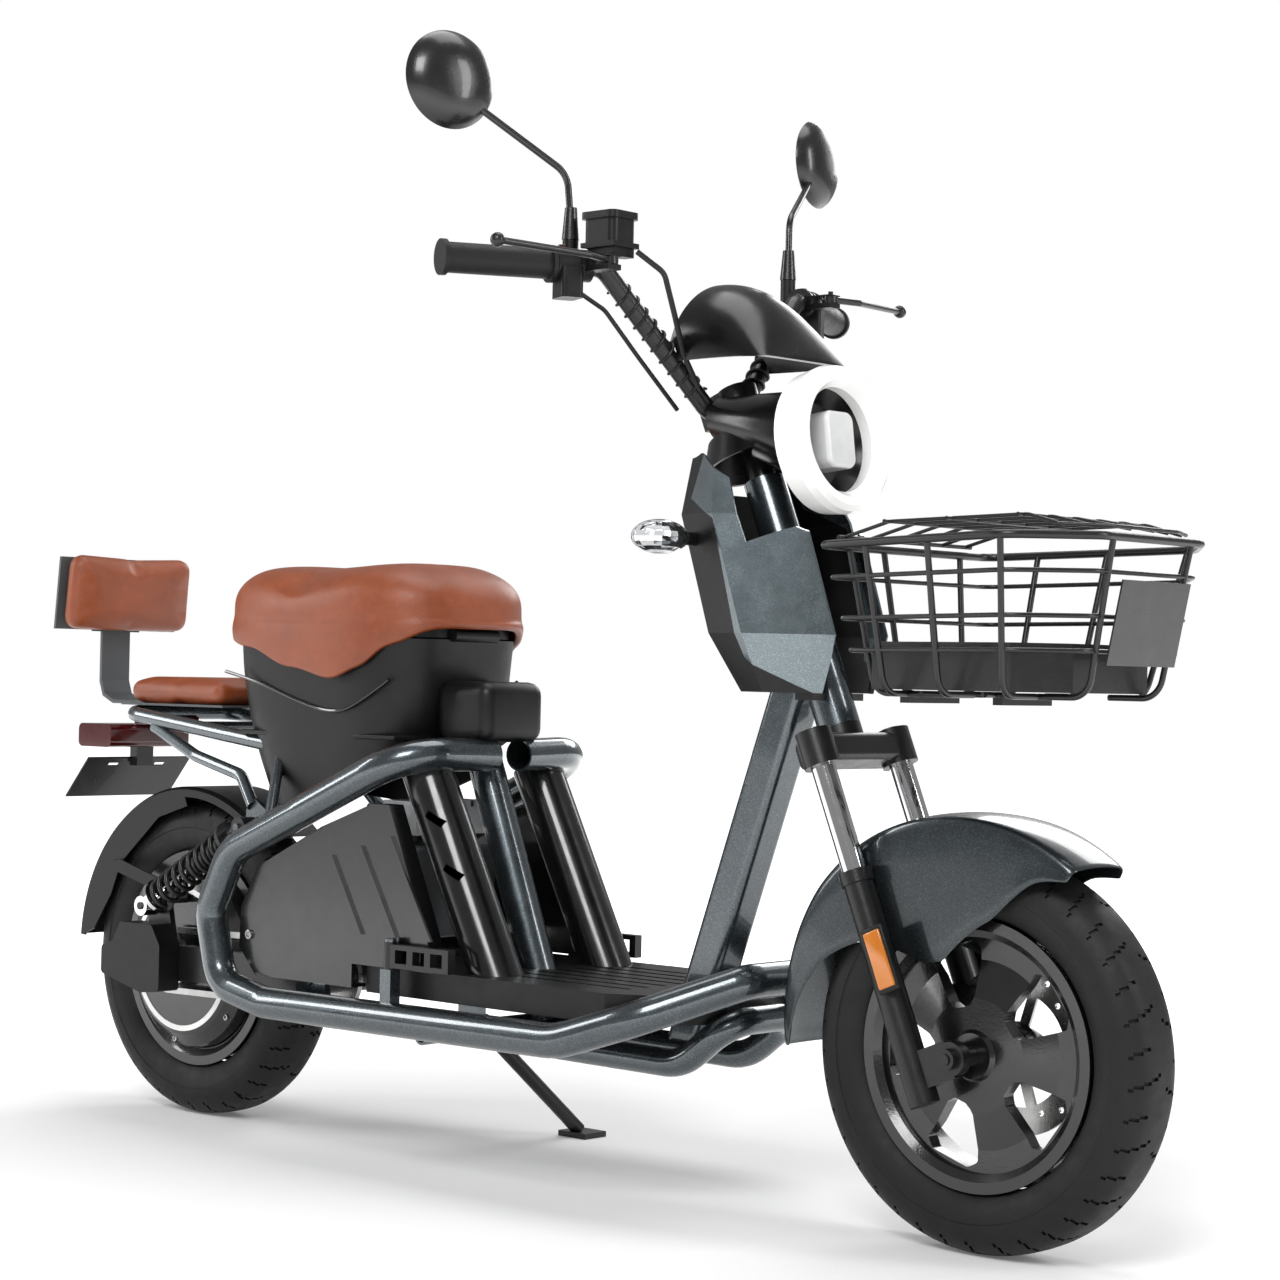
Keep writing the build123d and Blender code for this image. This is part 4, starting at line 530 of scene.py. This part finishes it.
seatLook = {
    "name": "seat_leather", "length": (120, 502), "halfWidth": 132, "top": 736, "joint": 664, "square": 3.6,
    "nose": 0.10, "wall": 8.0, "round": 3.2, "belly": 1.5, "hemDrop": 2.0, "roof": 8.0, "across": 144, "rows": 110,
    "stages": (0.50, 0.70, 0.76, 0.90), "pressure": 3.0, "cap": 0.004,
    "skirt": [(120, 640), (200, 629), (290, 604), (365, 591), (410, 606), (450, 634), (502, 656)],
    "humps": [(120, -6), (180, 0), (285, -10), (350, -6), (430, 1), (502, -6)],
}


def skirtHeight(x, points):
    for (x0, z0), (x1, z1) in zip(points, points[1:]):
        if x <= x1:
            share = max(0.0, min(1.0, (x - x0) / (x1 - x0)))
            share = share * share * (3 - 2 * share)
            return z0 + (z1 - z0) * share
    return points[-1][1]


def onSeat(look, turnShare, b):  # b runs from the crown down the skirt and back up inside it
    x0, x1 = look["length"]
    turn = 2 * pi * turnShare
    u, v = cos(turn), sin(turn)
    pull = 1 / (abs(u) ** look["square"] + abs(v) ** look["square"]) ** (1 / look["square"])
    u, v = u * pull, v * pull
    halfX, halfY = (x1 - x0) / 2, look["halfWidth"] * (1 - look["nose"] * max(0.0, u) ** 2)
    joint, wall = look["joint"], look["wall"]
    dome, skirt, hem, back = look["stages"]
    if b < dome:
        angle = b / dome * pi / 2
        wide, tall = sin(angle) ** (2 / look["round"]), cos(angle) ** (2 / look["round"])
        x, y = (x0 + x1) / 2 + u * halfX * wide, v * halfY * wide
        return spot(x, y, joint + (look["top"] - joint + fromTable(look["humps"], x)) * tall)
    x = (x0 + x1) / 2 + u * halfX
    low = skirtHeight(x, look["skirt"])
    if b < skirt:
        share = (b - dome) / (skirt - dome)
        puffed = look["belly"] * sin(share * pi)
        return spot(x + u * puffed, v * (halfY + puffed), joint + (low - joint) * share)
    inner = Vector(((x0 + x1) / 2 + u * (halfX - wall), v * (halfY - wall), 0))
    if b < hem:
        share = (b - skirt) / (hem - skirt)
        return spot(x + (inner.x - x) * share, v * halfY + (inner.y - v * halfY) * share,
                    low - look["hemDrop"] * sin(share * pi))
    roof = joint + look["roof"]
    if b < back:
        share = (b - hem) / (back - hem)
        return spot(inner.x, inner.y, low + (roof - low) * share)
    share = 1 - (b - back) / (1 - back)
    middle = (x0 + x1) / 2
    return spot(middle + (inner.x - middle) * share, inner.y * share, roof)


def makeSeat(look):
    piece = sheetFrom(look["name"], look["across"], look["rows"], lambda a, b: onSeat(look, a, b))
    puff(piece, look["pressure"], look["cap"], None, keepBelow=look["joint"] / 1000)
    return piece


seat = makeSeat(seatLook)
finishPiece(seat, finishes["tanLeather"], "seat", angle=60)
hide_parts("seat_cushion")
print("seat made", len(seat.data.polygons))

padLooks = (
    {"name": "rear_seat_leather", "node": "rear_seat_pad", "centre": spot(12, 0, 567.5),
     "size": (0.196, 0.184, 0.0300), "corner": 0.0135, "pressure": 3.0, "cap": 0.0045, "voxel": 0.004, "fill": 0.8},
    {"name": "backrest_leather", "node": "backrest_pad", "centre": spot(-206, 0, 701),
     "size": (0.034, 0.204, 0.104), "lean": radians(6), "corner": 0.0165, "pressure": 3.0, "cap": 0.005,
     "voxel": 0.004, "fill": 0.85},
)
for look in padLooks:
    pad = addPad(look)
    puff(pad, look["pressure"], look["cap"], look["voxel"])
    finishPiece(pad, finishes["tanLeather"], "chassis", angle=60)
    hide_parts(look["node"])
print("pads made")

# ---- smooth mouldings over the flat-sided nodes

bodyLook = {
    "name": "seat_body_shell", "across": 72, "rows": 18, "power": 3.8, "top": 641, "wall": 0.004,
    "rear": [(0.0, 196), (0.25, 168), (0.5, 148), (0.8, 134), (1.0, 131)],
    "front": [(0.0, 462), (0.5, 478), (1.0, 485)], "half": [(0.0, 108), (0.5, 115), (1.0, 119)],
    "foot": [(131, 440), (200, 436), (275, 424), (380, 462), (470, 506), (486, 520)],
}


def onBody(look, turnShare, rise):  # a point of the storage box: round corners, drawn in towards its foot
    turn = 2 * pi * turnShare
    u, v = cos(turn), sin(turn)
    pull = 1 / (abs(u) ** look["power"] + abs(v) ** look["power"]) ** (1 / look["power"])
    rear, front = fromTable(look["rear"], rise), fromTable(look["front"], rise)
    x = (rear + front) / 2 + u * pull * (front - rear) / 2
    foot = fromTable(look["foot"], x)
    return spot(x, v * pull * fromTable(look["half"], rise), foot + (look["top"] - foot) * rise)


seatBody = sheetFrom(bodyLook["name"], bodyLook["across"], bodyLook["rows"], lambda a, b: onBody(bodyLook, a, b))
useModifier(seatBody, "SOLIDIFY", thickness=bodyLook["wall"], offset=-1)
tidyNormals(seatBody)
bodyFloor = addBlock("body_floor", spot(318, 0, 519), (0.290, 0.222, 0.006), 0.002)
neckBlock = addBlock("neck_block", spot(516, 0, 553), (0.094, 0.104, 0.074), 0.017, segments=5)
neckCollar = addRod("neck_collar", spot(498, 0, 508), spot(492, 0, 522), 0.040, sides=48, edge=0.004)
seatBody = joinAll(bodyLook["name"], [seatBody, bodyFloor, neckBlock, neckCollar])
finishPiece(seatBody, finishes["blackPlastic"], "chassis", angle=40)
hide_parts("seat_body")

creaseLook = {"line": [(150, 117.2, 596), (215, 117.2, 584), (290, 117.2, 561), (358, 117.2, 546),
                       (405, 117.2, 560), (452, 112.0, 590)], "radius": 0.0022}
for side, label in sides:  # the crease that follows the seat's edge along each flank
    crease = addPipe("body_crease_" + label, [spot(x, side * y, z) for x, y, z in creaseLook["line"]],
                     creaseLook["radius"])
    finishPiece(crease, finishes["glossBlack"], "chassis")

panLook = {
    "name": "seat_pan_shell", "across": 72, "rows": 6, "power": 3.5, "top": 662, "wall": 0.003,
    "rear": [(0, 136), (1, 136)], "front": [(0, 482), (1, 482)], "half": [(0, 116.0), (1, 115.0)],
    "foot": [(100, 643), (500, 643)],
}
panRing = sheetFrom(panLook["name"], panLook["across"], panLook["rows"], lambda a, b: onBody(panLook, a, b))
useModifier(panRing, "SOLIDIFY", thickness=panLook["wall"], offset=-1)
tidyNormals(panRing)
panPlate = addBlock("pan_plate", spot(309, 0, 659), (0.310, 0.150, 0.004), 0.0015)
knuckle = addRod("pan_knuckle", spot(486, -38, 646), spot(486, 38, 646), 0.0078, sides=32)
panRing = joinAll(panLook["name"], [panRing, panPlate, knuckle])
finishPiece(panRing, finishes["blackPlastic"], "seat", angle=40)
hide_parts("seat_pan")
print("seat body and pan made")


mirrorLook = {"at": (761, 324, 1253), "turn": 15, "nod": 0.06, "radius": 0.0550, "low": -0.0090, "rise": 0.0252,
              "round": 2.6, "shoulder": 0.625, "edge": 0.0005, "wall": 0.0012, "across": 64, "rows": 20,
              "glass": (0.0062, 0.0078), "glassRadius": 0.0476, "glassEdge": 0.0004}


def onDome(look, a, b):  # a lens-like dome over a round plan
    turn, r = 2 * pi * a, look["radius"] * b
    fall = (r / (look["radius"] + look["edge"])) ** look["round"]
    return Vector((r * cos(turn), r * sin(turn), look["low"] + look["rise"] * max(0.0, 1 - fall) ** look["shoulder"]))


for side, label in sides:
    outward = radians(mirrorLook["turn"])
    facing = Vector((cos(outward), side * sin(outward), mirrorLook["nod"])).normalized()
    x, y, z = mirrorLook["at"]
    middle = spot(x, side * y, z)
    turned = facing.to_track_quat("Z", "Y").to_matrix()
    dome = sheetFrom("mirror_dome_" + label, mirrorLook["across"], mirrorLook["rows"],
                     lambda a, b: middle + turned @ onDome(mirrorLook, a, b))
    useModifier(dome, "SOLIDIFY", thickness=mirrorLook["wall"], offset=-1)
    tidyNormals(dome)
    finishPiece(dome, finishes["mirrorShell"], label + "_mirror", angle=60)
    front, back = mirrorLook["glass"]
    glass = addRod("mirror_glass_" + label, middle - facing * front, middle - facing * back,
                   mirrorLook["glassRadius"], sides=64, edge=mirrorLook["glassEdge"])
    finishPiece(glass, finishes["mirrorGlass"], label + "_mirror")
print("mirror shells made")


shroudLook = {  # each station is its place along X, its height, and half its width and depth
    "name": "nacelle_shroud", "across": 48, "rows": 28, "voxel": 0.004, "smoothing": 6,
    "stations": [(1010, 915, 8, 6), (1006, 918, 50, 26), (990, 926, 70, 36), (955, 932, 80, 42), (915, 930, 76, 40),
                 (885, 926, 62, 34), (872, 924, 40, 22), (868, 924, 6, 4)],
}


def onShroud(a, b):  # closed black shell between the lamp and the visor
    stations = shroudLook["stations"]
    at = b * (len(stations) - 1)
    first = min(int(at), len(stations) - 2)
    mix = at - first
    x, z, half, high = (stations[first][k] * (1 - mix) + stations[first + 1][k] * mix for k in range(4))
    turn = 2 * pi * a
    return spot(x, half * cos(turn), z + high * sin(turn))


shroud = sheetFrom(shroudLook["name"], shroudLook["across"], shroudLook["rows"], onShroud)
useModifier(shroud, "REMESH", mode="VOXEL", voxel_size=shroudLook["voxel"])
useModifier(shroud, "SMOOTH", factor=0.5, iterations=shroudLook["smoothing"])
finishPiece(shroud, finishes["smokeBlack"], "steering", angle=60)

for side, label in sides:
    letGo()
    bpy.ops.mesh.primitive_uv_sphere_add(segments=18, ring_count=10, radius=1, location=spot(936, side * 164, 754),
                                         scale=(0.021, 0.033, 0.0165))
    bowl = named("signal_bowl_" + label)
    stalk = addRod("signal_stalk", spot(940, side * 104, 754), spot(938, side * 142, 754), 0.0075, sides=32)
    finishPiece(bowl, finishes["chromeFinish"], "chassis", angle=5)
    stalk.name = "signal_stalk_" + label
    finishPiece(stalk, finishes["blackPlastic"], "chassis")
    letGo()
    bpy.ops.mesh.primitive_uv_sphere_add(segments=48, ring_count=28, radius=1, location=spot(936, side * 163, 754),
                                         scale=(0.0255, 0.0385, 0.0195))
    lens = named("signal_lens_" + label)
    finishPiece(lens, finishes["clearShell"], "chassis", angle=60)
    if side > 0:
        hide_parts("turn_signals")
print("signals made")

# ---- tyres with their tread

tyreLook = {"radius": 0.210, "halfWidth": 0.0438, "bead": 0.1465, "beadHalf": 0.0302, "wall": 0.009, "steps": 342,
            "pitch": 9, "groove": 0.0030, "slant": 0.75, "treadHalf": 0.036, "treadDepth": 0.016, "offset": 4,
            "centreBand": 0.16, "shoulder": 1.06, "shortBand": 0.55}


def tyreSection(look):  # the section as (radius, y) points, tread first, then round the inside
    r, w, bead, beadHalf = look["radius"], look["halfWidth"], look["bead"], look["beadHalf"]
    side = [(r, 0.0), (r, 0.005), (r - 0.0002, 0.010), (r - 0.0005, 0.015), (r - 0.0012, 0.020),
            (r - 0.0026, 0.0245), (r - 0.0048, 0.029), (r - 0.0080, 0.033), (r - 0.0120, 0.0365),
            (r - 0.0165, 0.0395), (r - 0.0215, 0.0418), (r - 0.0270, w), (r - 0.0350, w + 0.0001),
            (r - 0.0360, w - 0.0012), (r - 0.0450, w - 0.0022), (r - 0.0540, w - 0.0062),
            (bead + 0.0030, beadHalf + 0.0035), (bead, beadHalf)]
    inner = [(bead - 0.002, beadHalf - look["wall"]), (r - 0.040, w - look["wall"]), (r - look["wall"], 0.022)]
    half = side + inner
    return half + [(radius, -y) for radius, y in reversed(half[1:])]


def makeTyre(name, hub, look):
    section = tyreSection(look)
    letGo()
    bpy.ops.mesh.primitive_circle_add(vertices=len(section), radius=0.2, location=(0, 0, 0))
    piece = named(name)
    for vertex, (radius, y) in zip(piece.data.vertices, section):
        vertex.co = Vector((hub.x, y, hub.z + radius))
    bpy.ops.object.mode_set(mode="EDIT")
    bpy.ops.mesh.select_all(action="SELECT")
    bpy.ops.mesh.spin(steps=look["steps"], angle=2 * pi, center=hub, axis=(0, 1, 0))
    bpy.ops.mesh.select_all(action="SELECT")
    bpy.ops.mesh.remove_doubles(threshold=0.00002)
    bpy.ops.mesh.normals_make_consistent(inside=False)
    bpy.ops.object.mode_set(mode="OBJECT")
    step = 2 * pi / look["steps"]

    def inGroove(face):  # slanted sipes, every other one short, and half a pitch apart on the two sides
        across = face.center.y / look["treadHalf"]
        reach = (face.center - hub).xz.length
        if reach < look["radius"] - look["treadDepth"] or not look["centreBand"] < abs(across) < look["shoulder"]:
            return False
        turn = round(atan2(face.center.z - hub.z, face.center.x - hub.x) / step - 0.5)
        place = turn + (look["offset"] if across > 0 else 0) + round(look["slant"] * 6 * abs(across))
        if place // look["pitch"] % 2 and abs(across) < look["shortBand"]:
            return False
        return place % look["pitch"] == 0

    chooseFaces(piece, inGroove)
    bpy.ops.mesh.extrude_region_shrink_fatten(TRANSFORM_OT_shrink_fatten={"value": -look["groove"]})
    bpy.ops.object.mode_set(mode="OBJECT")
    return piece


for tyreName, hubX, tyreBody, tyreNode in (("front_tread_tyre", 1275, "front_wheel", "front_tyre"),
                                           ("rear_tread_tyre", 0, "rear_wheel", "rear_tyre")):
    madeTyre = makeTyre(tyreName, spot(hubX, 0, 210), tyreLook)
    finishPiece(madeTyre, finishes["tyreRubber"], tyreBody, angle=28)
    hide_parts(tyreNode)
print("tyres made", len(madeTyre.data.polygons))

# ---- front fender, one curved shell with cheeks

fenderLook = {
    "name": "front_fender_shell", "hub": (1275, 210), "angles": (57, 183), "steps": 44,
    "ridge": [(57, 244), (75, 249), (90, 253), (105, 258), (122, 262), (140, 262), (160, 256), (183, 250)],
    "cheek": [(57, 226), (66, 205), (76, 150), (90, 122), (104, 100), (118, 104), (128, 130), (140, 172), (155, 205),
              (170, 226), (183, 236)],
    "half": [(57, 49), (75, 53), (110, 54.5), (150, 54), (183, 48)], "wall": 0.0024,
}


def makeFender(look):  # each place across is a share of the half width and of the way up the cheek
    across = [(-1.0, 0.0), (-1.0, 0.25), (-1.0, 0.5), (-1.0, 0.75), (-0.995, 0.93), (-0.93, 0.985), (-0.78, 1.0),
              (-0.5, 1.02), (-0.2, 1.03), (0.2, 1.03), (0.5, 1.02), (0.78, 1.0), (0.93, 0.985), (0.995, 0.93),
              (1.0, 0.75), (1.0, 0.5), (1.0, 0.25), (1.0, 0.0)]
    letGo()
    bpy.ops.mesh.primitive_grid_add(x_subdivisions=look["steps"], y_subdivisions=len(across) - 1, size=1)
    piece = named(look["name"])
    a0, a1 = look["angles"]
    for vertex in piece.data.vertices:
        angle = a0 + (a1 - a0) * (vertex.co.x + 0.5)
        index = round((vertex.co.y + 0.5) * (len(across) - 1))
        side, rise = across[index]
        ridge = fromTable(look["ridge"], angle)
        low = fromTable(look["cheek"], angle)
        half = fromTable(look["half"], angle)
        shoulder = ridge - 9
        radius = low + (shoulder - low) * min(rise, 1.0) if rise < 0.9 else ridge - 9 + (rise - 0.93) / 0.10 * 9
        flare = 1 + 0.05 * (1 - min(rise, 1.0))
        hubX, hubZ = look["hub"]
        vertex.co = spot(hubX + radius * cos(radians(angle)), side * half * flare, hubZ + radius * sin(radians(angle)))
    tidyNormals(piece)
    top = max(piece.data.polygons, key=lambda face: face.center.z)
    if top.normal.z < 0:
        bpy.ops.object.mode_set(mode="EDIT")
        bpy.ops.mesh.flip_normals()
        bpy.ops.object.mode_set(mode="OBJECT")
    useModifier(piece, "SOLIDIFY", thickness=look["wall"], offset=-1)
    useModifier(piece, "SUBSURF", levels=1, render_levels=1)
    return piece


frontFender = makeFender(fenderLook)
finishPiece(frontFender, finishes["fenderPaint"], "fork_lower", angle=40)
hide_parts("front_fender")
print("front fender made")

# ---- small trim on the fork, bars and wheels

reflectorLook = {"holder": (0.029, 0.006, 0.072), "lens": (0.022, 0.004, 0.062), "height": 308,
                 "places": ((1195, 92), (1195, -92)), "lean": -22.5}
for number, (x, y) in enumerate(reflectorLook["places"]):
    side = 1 if y > 0 else -1
    leaned = (0, radians(reflectorLook["lean"]), 0)
    holder = addBlock("holder", spot(x, y - side * 1.0, reflectorLook["height"]), reflectorLook["holder"], 0.0025,
                      turn=leaned)
    lens = addBlock("lens", spot(x, y + side * 2.4, reflectorLook["height"]), reflectorLook["lens"], 0.0018,
                    turn=leaned)
    stem = addRod("stem", spot(x - 4, side * 84, 316), spot(x, y, 312), 0.005, sides=16)
    holder = joinAll("reflector_holder_%d" % number, [holder, stem])
    finishPiece(holder, finishes["blackPlastic"], "fork_lower")
    lens.name = "reflector_lens_%d" % number
    finishPiece(lens, finishes["amberLens"], "fork_lower")


def addScrew(name, at, facing, radius, body):  # a domed socket screw
    letGo()
    turn = facing.to_track_quat("Z", "Y").to_euler()
    bpy.ops.mesh.primitive_cylinder_add(vertices=24, radius=radius, depth=radius * 0.8, location=at, rotation=turn)
    piece = named(name)
    chooseFaces(piece, lambda face: face.normal.z > 0.9)
    bpy.ops.mesh.inset(thickness=radius * 0.45)
    bpy.ops.mesh.extrude_region_move(TRANSFORM_OT_translate={"value": (0, 0, 0)})
    bpy.ops.transform.translate(value=facing * (-radius * 0.4))
    bpy.ops.object.mode_set(mode="OBJECT")
    useModifier(piece, "BEVEL", width=radius * 0.12, segments=2, limit_method="ANGLE", angle_limit=radians(50))
    return finishPiece(piece, finishes["brightSteel"], body)


screwPlaces = []
for index in range(6):  # round the motor's cover
    turn = radians(60 * index + 20)
    screwPlaces.append(("motor_screw_%d" % index, spot(111 * cos(turn), -49.5, 210 + 111 * sin(turn)), (0, -1, 0),
                        0.0042, "rear_wheel"))
for side, label in sides:
    screwPlaces.append(("fender_screw_a_" + label, spot(1214, side * 53.5, 343), (0, side, 0), 0.006, "fork_lower"))
    screwPlaces.append(("fender_screw_b_" + label, spot(1137, side * 53.5, 325), (0, side, 0), 0.006, "fork_lower"))
    screwPlaces.append(("cover_screw_" + label, spot(250, side * 153.2, 266), (0, side, 0), 0.006, "chassis"))
for screwName, at, facing, radius, body in screwPlaces:
    addScrew(screwName, at, Vector(facing), radius, body)
print("screws made", len(screwPlaces))


sleeveLook = {"path": [(882, 42, 922), (867, 102, 984), (854, 152, 1035)], "radius": 0.0125, "pitch": 0.017,
              "strand": 0.0016, "stepsPerTurn": 14}


def addSleeve(name, path, look, body):  # spiral wrap round a run of bar or cable
    turns = []
    radius, pitch = look["radius"], look["pitch"]
    total = sum((b - a).length for a, b in zip(path, path[1:]))
    count = int(total / pitch * look["stepsPerTurn"])
    for step in range(count + 1):
        at = total * step / count
        walked = 0.0
        for a, b in zip(path, path[1:]):
            run = (b - a).length
            if at <= walked + run or b is path[-1]:
                middle = a + (b - a) * ((at - walked) / run)
                axis = (b - a).normalized()
                break
            walked += run
        sideways = axis.orthogonal().normalized()
        other = axis.cross(sideways)
        angle = 2 * pi * at / pitch
        turns.append(middle + (sideways * cos(angle) + other * sin(angle)) * radius)
    piece = addPipe(name, turns, look["strand"], sides=8)
    return finishPiece(piece, finishes["cableSkin"], body)


for side, label in sides:
    run = [spot(x, side * y, z) for x, y, z in sleeveLook["path"]]
    addSleeve("riser_wrap_" + label, run, sleeveLook, "steering")
print("cable wrap made")

# ---- floor, light and camera

floorLook = {"name": "studioFloor", "size": 30.0, "tone": (0.86, 0.86, 0.86)}
letGo()
bpy.ops.mesh.primitive_plane_add(size=floorLook["size"], location=(0, 0, -0.0004))
studioFloor = named(floorLook["name"])
settle(studioFloor)
floorPaint = bpy.data.materials.new("floorPaint")
floorPaint.use_nodes = True
floorTree = floorPaint.node_tree
floorShader = floorTree.nodes["Principled BSDF"]
floorShader.inputs["Base Color"].default_value = (*floorLook["tone"], 1)
floorShader.inputs["Roughness"].default_value = 0.9
floorShader.inputs["Specular IOR Level"].default_value = 0.1
floorShader.inputs["Emission Color"].default_value = (1, 1, 1, 1)
floorPlace = objectPlace(floorTree)
floorReach = floorTree.nodes.new("ShaderNodeVectorMath")
floorReach.operation = "LENGTH"
floorTree.links.new(floorPlace, floorReach.inputs[0])
# painted light: the floor glows more with distance from the middle, so it is painted white far off and darker round the
# scooter
floorGlow = rangeNode(floorTree, floorReach.outputs["Value"], 0.7, 2.6, 0.10, 1.0)
floorTree.links.new(floorGlow, floorShader.inputs["Emission Strength"])
studioFloor.data.materials.append(floorPaint)

world = bpy.data.worlds.new("studioSky")
scene.world = world
world.use_nodes = True
skyTree = world.node_tree
sky = skyTree.nodes["Background"]
rays = skyTree.nodes.new("ShaderNodeLightPath")
direct = mathNode(skyTree, "MAXIMUM", rays.outputs["Is Camera Ray"], rays.outputs["Is Transmission Ray"])
sky.inputs["Color"].default_value = (1, 1, 1, 1)
skyTree.links.new(rangeNode(skyTree, direct, 0.0, 1.0, 0.30, 1.0), sky.inputs["Strength"])

lampLooks = {
    "keySoftbox": {"at": (1.9, -3.4, 3.4), "aim": (0.0, 0.0, 0.5), "size": (1.8, 1.8), "power": 130},
    "frontStrip": {"at": (4.2, 1.2, 2.2), "aim": (0.4, 0.0, 0.5), "size": (0.7, 2.6), "power": 60},
    "rearStrip": {"at": (-3.2, -2.2, 2.0), "aim": (-0.3, 0.0, 0.5), "size": (0.6, 2.4), "power": 46},
    "topPanel": {"at": (0.0, 0.6, 4.2), "aim": (0.0, 0.0, 0.4), "size": (3.2, 2.0), "power": 62},
    "backPanel": {"at": (-0.8, 4.0, 2.6), "aim": (0.0, 0.0, 0.5), "size": (2.6, 1.6), "power": 60},
}
for lampName, look in lampLooks.items():
    letGo()
    bpy.ops.object.light_add(type="AREA", location=look["at"])
    lamp = bpy.context.active_object
    lamp.name = lampName
    lamp.rotation_euler = (Vector(look["aim"]) - Vector(look["at"])).to_track_quat("-Z", "Y").to_euler()
    lamp.data.shape = "RECTANGLE"
    lamp.data.size, lamp.data.size_y = look["size"]
    lamp.data.energy = look["power"]

cameraLook = {"at": (3.016 + shift, -2.504, 0.602), "azimuth": 41.907, "pitch": 0.89, "roll": 1.158, "lens": 80.36,
              "shift": (-0.003, -0.0073)}
azimuth, pitch, roll = (radians(cameraLook[key]) for key in ("azimuth", "pitch", "roll"))
ahead = Vector((-sin(azimuth) * cos(pitch), cos(azimuth) * cos(pitch), sin(pitch)))
level = ahead.cross(Vector((0, 0, 1))).normalized()
upright = level.cross(ahead)
across = level * cos(roll) + upright * sin(roll)
upward = upright * cos(roll) - level * sin(roll)
letGo()
bpy.ops.object.camera_add(location=cameraLook["at"])
camera = bpy.context.active_object
camera.name = "studioCamera"
camera.rotation_euler = Matrix((across, upward, -ahead)).transposed().to_euler()
camera.data.lens = cameraLook["lens"]
camera.data.sensor_width = 36
camera.data.shift_x, camera.data.shift_y = cameraLook["shift"]
camera.data.clip_start = 0.05
scene.camera = camera
scene.view_settings.view_transform = "Standard"
print("stage, lamps and camera set")
